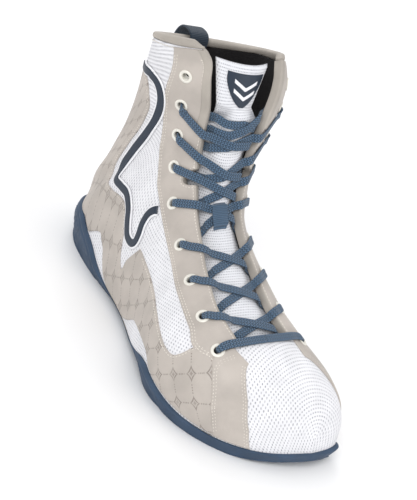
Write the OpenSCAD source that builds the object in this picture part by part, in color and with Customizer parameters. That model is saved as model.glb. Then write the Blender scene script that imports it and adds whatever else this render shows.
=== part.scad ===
// High-top lace-up boxing boot for the right foot. Millimetres, +Z up, floor at z = 0,
// toe towards -Y, outer (lateral) side towards -X. Every layer of the upper is a shell
// between two offsets of one surface, which is swept through a fan of foot sections.

/* [Size] */
// Length of the upper from toe tip to heel
upper_length = 288; // [265:1:305]
// Width of the upper across the ball of the foot
ball_width = 103; // [94:1:110]
// Height of the collar's front edge above the floor
collar_height = 208; // [190:1:222]

/* [Upper] */
// Thickness of the mesh shell
shell_t = 2.5; // [2:0.1:3]
// Thickness of the lining
lining_t = 1.5; // [1:0.1:1.8]
// Thickness of the stitched overlays
overlay_t = 0.8; // [0.6:0.1:1]
// Clearance between a stitched layer and the shell under it
layer_gap = 0.45; // [0.4:0.05:0.5]

/* [Sole] */
// Thickness of the outsole's side wall
wall_t = 3.2; // [2.6:0.1:3.8]
// Thickness of the removable footbed
footbed_t = 3.2; // [2.5:0.1:4]

/* [Lacing] */
// Width of the flat lace
lace_w = 6; // [5:0.1:7]
// Thickness of the flat lace
lace_t = 1.2; // [1:0.1:1.4]
// Radius of the hole through an eyelet
eyelet_r = 2.5; // [2.3:0.1:2.8]

/* [Tongue] */
// Width of the tongue's flap at its top edge
flap_w = 44; // [40:1:45]

/* [Pull tab] */
// Width of the webbing of the pull tab
tab_w = 16; // [12:1:20]

/* [Hidden] */

// Sections from the toe (first row) over the instep to the collar (last row):
// rear or lower end y, z; front or upper end y, z; middle x; half width lateral, medial;
// flat part of the bottom; height of the widest point; fullness of the arch.
FORM = [
    [-144,  11, -141,  21, 27,  0,  0, .92, .45, 2.0],
    [-142,   9, -135,  36, 25, 20, 22, .92, .45, 2.0],
    [-134,   8, -124,  47, 21, 37, 35, .93, .42, 2.1],
    [-117,   7, -109,  58, 14, 51, 42, .94, .38, 2.2],
    [ -92,   6,  -89,  66,  7, 58, 45, .94, .34, 2.2],
    [ -60,   5,  -66,  75,  3, 58, 44, .94, .31, 2.1],
    [ -25,   5,  -42,  85,  3, 51, 39, .93, .31, 2.1],
    [  13,   5,  -20,  95,  4, 42, 35, .92, .33, 2.1],
    [  55,   5,   -4, 106,  5, 38, 34, .91, .38, 2.1],
    [  95,   6,    5, 118,  7, 37, 37, .90, .42, 2.1],
    [ 122,   7,   11, 130,  9, 37, 38, .76, .43, 2.1],
    [ 138,  10,   15, 142, 10, 37, 38, .40, .44, 2.15],
    [ 144,  19,   18, 153, 12, 37, 40,   0, .45, 2.2],
    [ 142,  40,   20, 163, 13, 39, 42,   0, .45, 2.2],
    [ 131,  68,   23, 174, 14, 42, 44,   0, .45, 2.2],
    [ 119,  98,   25, 184, 13, 45, 46,   0, .45, 2.2],
    [ 113, 128,   28, 194, 11, 47, 47,   0, .45, 2.2],
    [ 109, 156,   31, 202,  8, 49, 46,   0, .45, 2.15],
    [ 106, 183,   35, 208,  5, 49, 44,   0, .45, 2.1]];
LAST = len(FORM) - 1;
SIZE = [ball_width / 103, upper_length / 288, collar_height / 208];

LATERAL = -1;
MEDIAL = 1;
BACK = 180;          // angle of the back seam, counted from the front ridge
COLLAR_V = 17.5;     // station of the shell's upper edge at the throat; it rises to the back
THROAT_V = 3.85;     // station of the bottom of the throat
TOE_SEAM_V = 3;      // station of the seam between vamp and quarters, at the sole

// Station and angle tables, angles counted from the front ridge
FEATHER = [[0, 160], [10, 160], [12, 180]];
THROAT_L = [[3.5, 33], [3.85, 29], [5, 29], [6.5, 30], [8, 31], [9, 33], [10, 35], [11, 36],
    [12, 38], [14, 39], [15.5, 41], [17, 41], [17.5, 45]];
THROAT_M = [[3.5, 13], [3.85, 12], [6, 12], [7, 13], [8, 14], [9, 15], [10, 17], [11, 17],
    [12, 16], [13, 15], [14, 16], [15, 18], [16, 21], [17, 26], [17.5, 31]];
STAY_W = [[3.5, 21], [4.3, 26], [5, 24], [6.3, 26], [8.2, 27], [10, 26], [11.2, 26],
    [12.5, 28], [13.5, 30], [14.7, 34], [15.6, 35], [16.7, 32], [17.5, 28]];
WALL_TOP = [[0, 137], [0.9, 140], [1.5, 147], [2.2, 154], [3, 156], [3.6, 152], [4.2, 143],
    [4.6, 133], [5, 123], [5.2, 119], [5.5, 123], [5.9, 142], [6.3, 156], [7.7, 156],
    [8, 152], [8.4, 144], [8.8, 136], [9.4, 132], [10.1, 129], [11.2, 134], [12, 150],
    [12.3, 166]];
SOLE_DROP = [[0, 3], [1, 5], [2, 7], [2.6, 9], [9.8, 9], [10.5, 7], [11, 4.5], [11.6, 2], [12.3, 0]];
// Share of the side wall's thickness, and how far the tread's edge is set in under the wall
WALL_SHARE = [[5.3, 1], [5.9, 0.35], [7.7, 0.35], [8.3, 1]];
TREAD_INSET = [[0, 0], [1.2, 3], [5, 4.5], [5.8, 9], [7.6, 9], [8.4, 4.5], [10.5, 4], [11.3, 2],
    [11.9, 0]];
WING_FRONT = [[36, 3.35], [46, 2.9], [69, 2.4], [98, 2.25], [155, 2.2]];
WING_REAR = [[36, 3.75], [58, 3.85], [69, 3.55], [84, 3.3], [109, 3.15], [155, 3]];
SIDE_NEAR = [[3.2, 56], [4.42, 56], [4.5, 60], [4.6, 70], [4.75, 76.5], [5, 76], [6.4, 74],
    [7.1, 76], [7.6, 78], [8, 82]];
SIDE_FAR = [[3, 153], [4.2, 140], [4.6, 130], [5, 120], [5.2, 114], [5.4, 104], [5.7, 104],
    [6.15, 107], [6.5, 114], [6.7, 140], [6.9, 153]];
HEEL_NEAR = [[7.7, 108], [8.15, 102], [8.5, 90], [9.05, 85], [9.8, 83], [10.4, 87], [11, 93],
    [11.5, 98], [12.5, 98], [13.3, 92], [14, 88], [15, 86], [15.8, 92], [16.4, 102], [16.8, 118]];
HEEL_FAR = [[7.7, 152], [8, 146], [8.2, 136], [8.6, 121], [9.15, 114], [9.4, 130], [9.6, 164]];
STRIPE = [[118, 16.85], [104, 16.6], [92, 16.35], [83, 15.85], [77.5, 15.15], [77, 14.4],
    [80, 13.6], [85, 12.9], [89, 12.2], [89, 11.4], [85, 10.8], [81, 10.2], [81, 9.5], [84, 8.9],
    [86, 8.5], [84.5, 8.25], [81, 8.2], [77, 8.35], [73, 8.62], [68, 8.85], [64, 8.9], [61, 8.86]];

// Eyelets from the top down: angle on the lateral side, angle on the medial side, station
EYELETS = [[60, 44, 16], [60, 42, 14.6], [56, 38, 12.9], [51, 37, 10.8], [50, 36, 8.9],
    [47, 34, 7.3], [43, 29, 6.1], [41, 27, 5], [45, 30, 4]];
// How far each crossing of the lace hangs down, in stations, from the top down
DROOP = [2.4, 2.1, 0.95, 0.1, 0.3, 0.15, 0.1];
UNDER_D = -5.2;      // depth of the lace where it runs behind the eyestay

function lerp(a, b, t) = a + (b - a) * t;
function smooth(t) = let (c = max(0, min(1, t))) c * c * (3 - 2 * c);
function at(table, x) = lookup(x, table);

// Row of the form table, running on in a straight line past both ends
function form_row(i) =
    i < 0 ? 2 * FORM[0] - FORM[1] : i > LAST ? 2 * FORM[LAST] - FORM[LAST - 1] : FORM[i];

// Section at a station, by a smooth curve through the rows
function section(v) =
    let (i = max(0, min(LAST - 1, floor(v))), t = v - i,
        p0 = form_row(i - 1), p1 = form_row(i), p2 = form_row(i + 1), p3 = form_row(i + 2))
    0.5 * (2 * p1 + (p2 - p0) * t + (2 * p0 - 5 * p1 + 4 * p2 - p3) * t * t
        + (3 * p1 - p0 - 3 * p2 + p3) * t * t * t);

// Point of the upper's outer surface at an angle from the front ridge and a station
function skin(a, v) =
    let (s = section(v), m = abs(a), w = a < 0 ? s[5] : s[6],
        arch = pow(abs(cos(90 - m)), 2 / s[9]), rise = pow(abs(sin(90 - m)), 2 / s[9]),
        x = m <= 90 ? w * arch : w * (s[7] + (1 - s[7]) * abs(cos(90 - m))),
        t = m <= 90 ? s[8] + (1 - s[8]) * rise : s[8] * (1 - abs(sin(90 - m))))
    [s[4] + sign(a) * x, lerp(s[0], s[2], t), lerp(s[1], s[3], t)];

// Outward normal of the surface
function normal(a, v) =
    let (u = max(0.08, min(LAST, v)), b = min(178, abs(a)) * (a < 0 ? -1 : 1),
        da = skin(b + 1, u) - skin(b - 1, u),
        dv = skin(b, min(LAST, u + 0.04)) - skin(b, u - 0.04),
        n = cross(da, dv))
    n / norm(n);

// Point at a distance d outside the surface; the two sides meet at the toe and back seams
function offset_point(a, v, d) =
    let (p = skin(a, v) + d * normal(v < 0.01 ? -abs(a) : a, v),
        seam = v < 0.01 || (abs(a) > 179.9 && section(v)[7] < 0.001))
    [(seam ? section(v)[4] : p[0]) * SIZE[0], p[1] * SIZE[1], p[2] * SIZE[2]];

function steps(a, b, n) = [for (i = [0 : n]) lerp(a, b, i / n)];
function side_angle(side, near, far, s) = side < 0 ? -lerp(far, near, s) : lerp(near, far, s);

// Closed solid between an inner and an outer grid of points. Where zip is set, the
// first row is a seam on which the grid's two halves meet.
module slab(inner, outer, zip = false) {
    rows = len(inner);
    cols = len(inner[0]);
    count = rows * cols;
    function folded(i, j) = zip && i == 0 && 2 * j > cols - 1 ? cols - 1 - j : j;
    function id(k, i, j) = k * count + i * cols + folded(i, j);
    function quad(a, b, c, d) = [[a, b, c], [a, c, d]];
    faces = concat(
        [for (i = [0 : rows - 2]) for (j = [0 : cols - 2])
            each quad(id(1, i, j), id(1, i + 1, j), id(1, i + 1, j + 1), id(1, i, j + 1))],
        [for (i = [0 : rows - 2]) for (j = [0 : cols - 2])
            each quad(id(0, i, j), id(0, i, j + 1), id(0, i + 1, j + 1), id(0, i + 1, j))],
        [for (i = [0 : rows - 2])
            each quad(id(1, i + 1, 0), id(1, i, 0), id(0, i, 0), id(0, i + 1, 0))],
        [for (i = [0 : rows - 2]) let (j = cols - 1)
            each quad(id(1, i + 1, j), id(0, i + 1, j), id(0, i, j), id(1, i, j))],
        [for (j = [0 : cols - 2]) let (i = rows - 1)
            each quad(id(1, i, j + 1), id(1, i, j), id(0, i, j), id(0, i, j + 1))],
        zip ? [] : [for (j = [0 : cols - 2])
            each quad(id(1, 0, j + 1), id(0, 0, j + 1), id(0, 0, j), id(1, 0, j))]);
    polyhedron(points = concat([for (r = inner) each r], [for (r = outer) each r]), faces = faces);
}

// Shell between offsets d0 and d1 over a grid of [angle, station] pairs
module layer(grid, d0, d1, zip = false) {
    slab([for (r = grid) [for (p = r) offset_point(p[0], p[1], d0)]],
        [for (r = grid) [for (p = r) offset_point(p[0], p[1], d1)]], zip);
}

// Grid of one side between two functions of the station that give its edges' angles
function panel(side, stations, na, near, far) =
    [for (v = stations) [for (s = steps(0, 1, na)) [side_angle(side, near(v), far(v), s), v]]];

function throat(side) = side < 0 ? THROAT_L : THROAT_M;
function eyelet_angle(side, e) = side < 0 ? -e[0] : e[1];

// Stations of the collar binding's lower and upper edges at an angle
function collar_v(m) = lerp(COLLAR_V, 17.78, smooth((m - 50) / 60));
function rim_v(side, m) = LAST - 0.35 * (1 - smooth((m - at(throat(side), LAST)) / 10));

// ---- shell and lining -------------------------------------------------------------
SIDE_COLS = 12;
FRONT_COLS = 6;
VAMP_ROWS = 8;
QUARTER_ROWS = 25;

// The vamp's seam runs up from the sole to the bottom of the throat
function seam_v(m) = lerp(TOE_SEAM_V, THROAT_V, smooth((80 - m) / 25));
function quarter_grid(side) =
    [for (u = steps(0, 1, QUARTER_ROWS)) [for (k = [0 : SIDE_COLS])
        let (s = side < 0 ? k / SIDE_COLS : 1 - k / SIDE_COLS,
            m0 = lerp(160, at(throat(side), THROAT_V), s),
            top = collar_v(lerp(BACK, at(throat(side), COLLAR_V), s)),
            v = lerp(seam_v(m0), top, u),
            near = at(throat(side), max(v, THROAT_V)))
        [side * lerp(at(FEATHER, v), near, s), v]]];
function vamp_angles() = concat(
    [for (k = [0 : SIDE_COLS]) -lerp(160, at(THROAT_L, THROAT_V), k / SIDE_COLS)],
    [for (k = [1 : FRONT_COLS - 1])
        lerp(-at(THROAT_L, THROAT_V), at(THROAT_M, THROAT_V), k / FRONT_COLS)],
    [for (k = [0 : SIDE_COLS]) lerp(at(THROAT_M, THROAT_V), 160, k / SIDE_COLS)]);
function vamp_grid() =
    let (angles = vamp_angles(), even = steps(-160, 160, len(angles) - 1))
    [for (u = steps(0, 1, VAMP_ROWS)) [for (j = [0 : len(angles) - 1])
        [lerp(even[j], angles[j], min(1, 2 * u)), u * seam_v(abs(angles[j]))]]];

// Holes for one side's eyelets, and the flex notch in the throat edge
module lace_holes(side) {
    for (e = EYELETS)
        along_normal(eyelet_angle(side, e), e[2])
            translate([0, 0, -8])
                cylinder(h = 14, r = eyelet_r + 0.55, $fn = 32);
    along_normal(side * (at(throat(side), 9.9) + 1), 9.9)
        translate([0, 0, -8])
            cylinder(h = 14, r = 4.5, $fn = 32);
}

// Places its children with +Z along the outward normal at a point of the surface
module along_normal(a, v) {
    n = normal(a, v);
    translate(offset_point(a, v, 0))
        rotate(a = acos(n[2]), v = cross([0, 0, 1], n))
            children();
}

module vamp() {
    color("whitesmoke")
        layer(vamp_grid(), -shell_t, 0, zip = true);
}

module vamp_lining() {
    color("dimgray")
        layer(vamp_grid(), -shell_t - lining_t, -shell_t, zip = true);
}

module quarter(side) {
    color("whitesmoke")
        difference() {
            layer(quarter_grid(side), -shell_t, 0);
            lace_holes(side);
        }
}

module quarter_lining(side) {
    color("dimgray")
        difference() {
            layer(quarter_grid(side), -shell_t - lining_t, -shell_t);
            lace_holes(side);
        }
}

// ---- stitched overlays ------------------------------------------------------------
OVER_D = layer_gap;
OVER_TOP = layer_gap + overlay_t;

module eyestay(side) {
    near = function (v) at(throat(side), v);
    far = function (v) at(throat(side), v) + at(STAY_W, v);
    color("tan")
        difference() {
            layer(panel(side, steps(3.95, COLLAR_V - 0.03, 27), 4, near, far), OVER_D, OVER_TOP);
            lace_holes(side);
        }
}

// Strap that runs from the eyestay's foot down to the sole
WING_NEAR = 4;
WING_FAR = 150;
function wing_start(side) = at(throat(side), THROAT_V) + WING_NEAR;
module wing(side) {
    grid = [for (t = steps(0, 1, 4)) [for (k = [0 : 14])
        let (s = side < 0 ? 1 - k / 14 : k / 14, m = lerp(wing_start(side), WING_FAR, s),
            q = lerp(36, 155, s))
        [side * m, lerp(at(WING_FRONT, q), at(WING_REAR, q) - 0.03, t)]]];
    color("tan")
        layer(grid, OVER_D, OVER_TOP);
}

// Printed panel on the side of the forefoot: it starts at the wing's rear edge, passes
// round the foot of the mesh window and ends in a hump in front of the heel panel
module side_overlay(side) {
    foot = 3.4;
    head = 7.7;
    function wing_rear(m) =
        at(WING_REAR, lerp(36, 155, (m - wing_start(side)) / (WING_FAR - wing_start(side))));
    function shifted(m, t) = lerp(foot, head, t) + (wing_rear(m) + 0.04 - foot) * pow(1 - t, 6)
        + 0.2 * smooth((104 - m) / 12) * pow(t, 6);
    grid = [for (t = steps(0, 1, 26)) let (v = lerp(foot, head, t))
        [for (s = steps(0, 1, 8)) let (a = side_angle(side, at(SIDE_NEAR, v), at(SIDE_FAR, v), s))
            [a, shifted(abs(a), t)]]];
    color("rosybrown")
        layer(grid, OVER_D, OVER_TOP);
}

// Printed panel round the heel and up the back of the ankle
module heel_overlay(side) {
    near = function (v) at(HEEL_NEAR, v);
    far = function (v) min(at(HEEL_FAR, v), v < 12.3 ? at(WALL_TOP, v) - 3 : 164);
    stations = concat(steps(7.75, 9.75, 12), steps(10.05, 16.7, 18));
    color("rosybrown")
        layer(panel(side, stations, 9, near, far), OVER_D, OVER_TOP);
}

module backstay() {
    grid = [for (v = steps(12.6, collar_v(BACK) - 0.05, 14)) [for (a = steps(166, 194, 4))
        [a > 180 ? a - 360 : a, v]]];
    color("tan")
        layer(grid, OVER_D, OVER_TOP);
}

// Flowing band from the collar's back down the ankle and forward to the eyestay
module stripe(side) {
    half = 3;
    n = 42;
    function path(u) = let (i = min(len(STRIPE) - 2, floor(u)), t = u - i)
        lerp(STRIPE[i], STRIPE[i + 1], t);
    function across(u) = let (a = path(max(0, u - 0.4)), b = path(min(len(STRIPE) - 1, u + 0.4)),
        m = path(u), here = skin(side * m[0], m[1]),
        ea = norm(skin(side * (m[0] + 1), m[1]) - here),
        ev = norm(skin(side * m[0], m[1] + 0.1) - here) * 10,
        d = [(b[0] - a[0]) * ea, (b[1] - a[1]) * ev], e = d / norm(d))
        [-e[1] / ea, e[0] / ev];
    grid = [for (u = steps(0, len(STRIPE) - 1, n)) let (m = path(u), c = across(u))
        [for (h = [-half, 0, half]) let (p = m + h * c * -side) [side * p[0], p[1]]]];
    color("midnightblue")
        layer(grid, OVER_TOP + layer_gap, OVER_TOP + layer_gap + 0.5);
}

// Padded roll round the collar's edge, open at the throat
module collar_binding() {
    angles = concat(steps(at(THROAT_M, COLLAR_V), BACK, 14),
        [for (k = [1 : 14]) -lerp(BACK, at(THROAT_L, COLLAR_V), k / 14)]);
    grid = [for (t = steps(0, 1, 2)) [for (a = angles)
        [a, lerp(collar_v(abs(a)) + 0.03, rim_v(a < 0 ? LATERAL : MEDIAL, abs(a)), t)]]];
    color("tan")
        layer(grid, -shell_t - lining_t - 0.4, OVER_TOP);
}

// ---- sole -------------------------------------------------------------------------
// Stations of the shell's rows near the bottom, from the toe to the back of the heel
BOARD_V = [for (v = concat([for (i = [1 : VAMP_ROWS]) TOE_SEAM_V * i / VAMP_ROWS],
    [for (i = [1 : QUARTER_ROWS]) lerp(TOE_SEAM_V, collar_v(BACK), i / QUARTER_ROWS)])) if (v < 11.9) v];

function board_row(v, d) =
    let (a = at(FEATHER, v), l = offset_point(-a, v, d), r = offset_point(a, v, d))
    [for (s = steps(0, 1, 4)) lerp(r, l, s)];

module insole_board() {
    color("beige")
        slab([for (v = BOARD_V) board_row(v, -shell_t)],
            [for (v = BOARD_V) board_row(v, 0)]);
}

module footbed() {
    rise = shell_t + 0.5;
    depth = -shell_t - lining_t;
    function lifted(row, dz) = [for (p = row) p + [0, 0, dz]];
    function sole_row(v) =
        let (a = at(FEATHER, v), l = offset_point(-a, v, depth), r = offset_point(a, v, depth),
            z = offset_point(a, v, 0)[2], e = [0.6, 0, 0])
        [for (s = steps(0, 1, 4)) let (p = lerp(r - e, l + e, s)) [p[0], p[1], z]];
    rows = [for (v = BOARD_V) if (v > 2.2 && v < 10.6) sole_row(v)];
    color("black")
        slab([for (r = rows) lifted(r, rise + footbed_t)], [for (r = rows) lifted(r, rise)]);
}

// One rubber moulding: flat tread, toe and forefoot wall, tall heel wall, waist tucked under
module outsole() {
    wall_cols = 6;
    stations = concat(steps(0, 3, 8), steps(3.45, 12.3, 21));
    gap = 0.45;
    function top(v) = min(at(WALL_TOP, v), at(FEATHER, v) - 3);
    function wall(side, v) = [for (k = [0 : wall_cols])
        let (s = side < 0 ? k / wall_cols : 1 - k / wall_cols)
        [side * lerp(top(v), at(FEATHER, v), s), s]];
    function between(l, r) = [for (k = [1 : 3]) lerp(l, r, k / 4)];
    function joined(l, r) = concat(l, between(l[wall_cols], r[0]), r);
    function inner_side(side, v) = [for (p = wall(side, v)) offset_point(p[0], v, gap)];
    function outer_side(side, v) = [for (p = wall(side, v))
        let (low = smooth((p[1] - 0.35) / 0.5), n = normal(p[0], v), out = [n[0], n[1], 0],
            q = offset_point(p[0], v, wall_t * at(WALL_SHARE, v))
                - out / norm(out) * at(TREAD_INSET, v) * low)
        [q[0], q[1], max(0, q[2] - at(SOLE_DROP, v) * low)]];
    function inner_row(v) = joined(inner_side(LATERAL, v), inner_side(MEDIAL, v));
    function outer_row(v) = joined(outer_side(LATERAL, v), outer_side(MEDIAL, v));
    color("steelblue")
        slab([for (v = stations) outer_row(v)], [for (v = stations) inner_row(v)], true);
}

// ---- tongue -----------------------------------------------------------------------
FACE_T = 2.4;
BACKING_T = 0.9;

function gap_middle(v) = (at(THROAT_M, v) - at(THROAT_L, v)) / 2;
function gap_half(v) = (at(THROAT_M, v) + at(THROAT_L, v)) / 2;

// Depth of the tongue's front: low behind the eyestays, crowned between them
function tongue_d(a, v) =
    let (q = (a - gap_middle(v)) / (gap_half(v) - 2), crown = max(0, 1 - q * q))
    -6.8 + 3.1 * crown * smooth((v - THROAT_V) / 0.8);
function tongue_grid(back) =
    [for (v = steps(3.6, 13, 18)) [for (s = steps(-1, 1, 10))
        let (a = gap_middle(v) + s * (gap_half(v) + 13)) offset_point(a, v, tongue_d(a, v) - back)]];

module tongue_lower() {
    color("white")
        slab(tongue_grid(FACE_T), tongue_grid(0));
}

module tongue_lining_lower() {
    color("black")
        slab(tongue_grid(FACE_T + BACKING_T), tongue_grid(FACE_T));
}

// Heights of the flap's ends at the standard collar height; its hinge line is 3 mm lower
FLAP_FOOT = 168;
FLAP_TOP = 196;

// Point of the flap: s across from -1 to 1, h up from 0 to 1, back from its front face
function flap_point(s, h, back) =
    let (x = lerp(3.5, 4, h) + s * lerp(14.5, flap_w / 2, h))
    [x * SIZE[0], (lerp(27, 35, h) + lerp(5, 7, h) * s * s) * SIZE[1] + back,
        lerp(FLAP_FOOT, FLAP_TOP, h) * SIZE[2]];
function flap_grid(back) =
    [for (h = steps(0, 1, 6)) [for (s = steps(-1, 1, 8)) flap_point(s, h, back)]];

module tongue_top() {
    color("white")
        slab(flap_grid(FACE_T), flap_grid(0));
}

module tongue_lining_top() {
    color("black")
        slab(flap_grid(FACE_T + BACKING_T), flap_grid(FACE_T));
}

// Plain shield badge on the flap
module tongue_emblem() {
    half = [[0.04, 0.14], [0.2, 0.46], [0.4, 0.66], [0.6, 0.74], [0.82, 0.74]];
    function badge(back) = [for (h = steps(0.04, 0.82, 6)) [for (s = steps(-1, 1, 6))
        flap_point(0.05 + s * at(half, h), h, back)]];
    color("midnightblue")
        slab(badge(-0.3), badge(-0.8));
}

// Webbing bridge on the tongue that holds the lace's middle crossing
module lace_keeper() {
    function arch(v) = lerp(-3.2, 0.8, smooth((0.5 - abs(v - 7.92)) / 0.14));
    function bridge(lift) = [for (v = steps(7.42, 8.42, 10)) [for (a = steps(-18, -4, 3))
        offset_point(a, v, arch(v) + lift)]];
    color("slategray")
        slab(bridge(0), bridge(0.9));
}

// ---- lacing -----------------------------------------------------------------------
module eyelet(side, e) {
    seat = OVER_TOP + 0.5;
    along_normal(eyelet_angle(side, e), e[2])
        rotate_extrude($fn = 48)
            polygon([[eyelet_r, -4.2], [eyelet_r + 0.5, -4.2], [eyelet_r + 0.5, seat],
                [eyelet_r + 2.1, seat], [eyelet_r + 1.9, seat + 0.6], [eyelet_r + 0.4, seat + 0.7],
                [eyelet_r, seat + 0.4]]);
}

module eyelets(side) {
    color("ivory")
        for (e = EYELETS)
            eyelet(side, e);
}

// Route points are [angle, station, depth, width, thickness]. The lace comes to the hole
// along a line that falls by slope stations a degree, narrows and turns down through it.
LEAD = [[8, 2.6, 1, 1.2], [5.4, 3.2, 0.9, 1.2], [3.6, 3.75, 0.7, 1.2], [1.4, 3.8, 0.42, 1.2],
    [0.3, 2.7, 0.34, 1.3], [0, 0.8, 0.34, 1.3], [0, -1.5, 0.34, 1.3], [0, -4.3, 0.34, 1.3]];
function through_hole(side, e, slope) =
    let (a = eyelet_angle(side, e), v = e[2],
        k = 1 / norm(skin(a - side, v - slope) - skin(a, v)))
    concat([for (p = LEAD) [a - side * p[0] * k, v - slope * p[0] * k, p[1], lace_w * p[2], p[3]]],
        [[a - side * 1.6, v, -5.6, lace_w * 0.5, 1.3], [a - side * 4.5, v, UNDER_D, lace_w * 0.8, lace_t]]);

// From behind the eyestay on one side, over the tongue and over the other eyestay's edge
function crossing(side, from_e, to_e, droop, lift) =
    let (a0 = eyelet_angle(side, from_e), a1 = eyelet_angle(-side, to_e),
        v0 = lerp(from_e[2], to_e[2], 0.2) - 0.64 * droop, v1 = lerp(from_e[2], to_e[2], 0.8) - 0.64 * droop,
        inner0 = side * at(throat(side), v0), inner1 = -side * at(throat(-side), v1),
        low = -2.6 + lift,
        route = [[a0 - side * 8, UNDER_D], [inner0 + side * 1, UNDER_D], [inner0 - side * 3.5, -4.4],
            [inner0 - side * 7, low - 0.2], [lerp(inner0, inner1, 0.4), low],
            [lerp(inner0, inner1, 0.5), low], [lerp(inner0, inner1, 0.6), low],
            [inner1 + side * 7, lerp(low, -1, 0.3)], [inner1 + side * 4, 1], [inner1 - side * 1, 2.7]])
    [for (p = route) let (s = (p[0] - a0) / (a1 - a0))
        [p[0], lerp(from_e[2], to_e[2], s) - droop * 4 * s * (1 - s), p[1], lace_w, lace_t]];

function reversed(list) = [for (i = [len(list) - 1 : -1 : 0]) list[i]];

// One half of the lace, from the bar at the bottom of the throat to its tucked end
function half_lace(side) =
    let (bar = EYELETS[8], a = eyelet_angle(side, bar), edge = side * at(throat(side), bar[2]),
        start = [[gap_middle(4), 3.9, 1.6, lace_w, lace_t], [edge - side * 5, 3.93, 2, lace_w, lace_t],
            [edge + side * 3, 3.97, 2.6, lace_w, lace_t]])
    concat(start, through_hole(side, bar, 0), lace_up(side, 8));
function lace_up(side, k) =
    k == 1 ? tail(side, EYELETS[1]) :
        let (droop = DROOP[k - 2], lift = side > 0 ? 1.5 : 0, e0 = EYELETS[k], e1 = EYELETS[k - 1],
            width = abs(eyelet_angle(-side, e1) - eyelet_angle(side, e0)))
        concat(crossing(side, e0, e1, droop, lift),
            through_hole(-side, e1, (e1[2] - e0[2] + 4 * droop) / width), lace_up(-side, k - 1));

// Loose end: out from behind the eyestay, across the tongue and behind the other one
function tail(side, e) =
    let (middle = side < 0 ? 12.65 : 12.05, lift = side < 0 ? 0 : 1.5,
        near = side * at(throat(side), 13), far = -side * at(throat(-side), 13),
        route = [[near + side * 12, 14.1, UNDER_D], [near + side * 3, 13.6, UNDER_D],
            [near - side * 3.5, 13.4, -4.4], [near - side * 7, 13.3, -2.8 + lift],
            [lerp(near, far, 0.3), lerp(13.3, middle, 0.7), -2.6 + lift],
            [lerp(near, far, 0.5), middle, -2.6 + lift * 0.5], [lerp(near, far, 0.65), middle, -2.6],
            [far + side * 7, 12.5, -2.8], [far + side * 3.5, 12.65, -4.4],
            [far - side * 3, 12.8, UNDER_D], [far - side * 9, 13.1, UNDER_D - 0.4]])
    [for (p = route) [p[0], p[1], p[2], lace_w, lace_t]];

// Flat lace swept along a route, its width lying up the boot
module lace_strand(route) {
    points = [for (r = route) offset_point(r[0], r[1], r[2])];
    n = len(route) - 1;
    function ring(i) =
        let (r = route[i], t = points[min(n, i + 1)] - points[max(0, i - 1)], e = t / norm(t),
            up = offset_point(r[0], min(LAST, r[1] + 0.3), 0) - offset_point(r[0], r[1] - 0.3, 0),
            side_raw = up - (up * e) * e, w = side_raw / norm(side_raw), d = cross(e, w))
        [for (q = [[-1, -1], [1, -1], [1, 1], [-1, 1]])
            points[i] + w * q[0] * r[3] / 2 + d * q[1] * r[4] / 2];
    rings = [for (i = [0 : n]) ring(i)];
    body = [for (i = [0 : n - 1]) for (j = [0 : 3]) let (k = (j + 1) % 4)
        each [[i * 4 + j, i * 4 + 4 + k, i * 4 + k], [i * 4 + j, i * 4 + 4 + j, i * 4 + 4 + k]]];
    caps = [[0, 1, 2], [0, 2, 3], [n * 4, n * 4 + 2, n * 4 + 1], [n * 4, n * 4 + 3, n * 4 + 2]];
    polyhedron(points = [for (r = rings) each r], faces = concat(body, caps));
}

module laces() {
    color("slategray") {
        lace_strand(half_lace(LATERAL));
        lace_strand(half_lace(MEDIAL));
    }
}

// Sleeves on the tucked ends
module aglets() {
    color("slategray")
        for (side = [LATERAL, MEDIAL])
            aglet(side);
}

module aglet(side) {
    route = half_lace(side);
    n = len(route) - 1;
    a = offset_point(route[n - 1][0], route[n - 1][1], route[n - 1][2]);
    b = offset_point(route[n][0], route[n][1], route[n][2]);
    e = (b - a) / norm(b - a);
    translate(b + 0.1 * e)
        rotate(a = acos(e[2]), v = cross([0, 0, 1], e))
            cylinder(h = 9, r = 0.8, $fn = 24);
}

// ---- pull tab ---------------------------------------------------------------------
module pull_tab() {
    route = [[112.6, 150], [113.4, 155], [117.6, 162], [118.4, 172], [116.8, 181], [112.5, 186.4],
        [106.5, 187.6], [101, 186.6], [98.2, 183], [98.2, 176]];
    half = 0.8;
    n = len(route) - 1;
    function side_point(i, h) =
        let (t = route[min(n, i + 1)] - route[max(0, i - 1)], e = t / norm(t))
        [route[i][0] * SIZE[1] - e[1] * h, route[i][1] * SIZE[2] + e[0] * h];
    color("midnightblue")
        translate([section(COLLAR_V)[4] * SIZE[0] - tab_w / 2, 0, 0])
            rotate([90, 0, 90])
                linear_extrude(tab_w)
                    polygon(concat([for (i = [0 : n]) side_point(i, half)],
                        [for (i = [n : -1 : 0]) side_point(i, -half)]));
}

outsole();
insole_board();
footbed();
vamp();
quarter(LATERAL);  // quarter_lateral
quarter(MEDIAL);  // quarter_medial
vamp_lining();
quarter_lining(LATERAL);  // quarter_lining_lateral
quarter_lining(MEDIAL);  // quarter_lining_medial
eyestay(LATERAL);  // eyestay_lateral
eyestay(MEDIAL);  // eyestay_medial
wing(LATERAL);  // wing_lateral
wing(MEDIAL);  // wing_medial
side_overlay(LATERAL);  // side_overlay_lateral
side_overlay(MEDIAL);  // side_overlay_medial
heel_overlay(LATERAL);  // heel_overlay_lateral
heel_overlay(MEDIAL);  // heel_overlay_medial
backstay();
stripe(LATERAL);  // stripe_lateral
stripe(MEDIAL);  // stripe_medial
collar_binding();
pull_tab();
tongue_lower();
tongue_lining_lower();
tongue_top();
tongue_lining_top();
tongue_emblem();
lace_keeper();
eyelets(LATERAL);  // eyelets_lateral
eyelets(MEDIAL);  // eyelets_medial
laces();
aglets();
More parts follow.
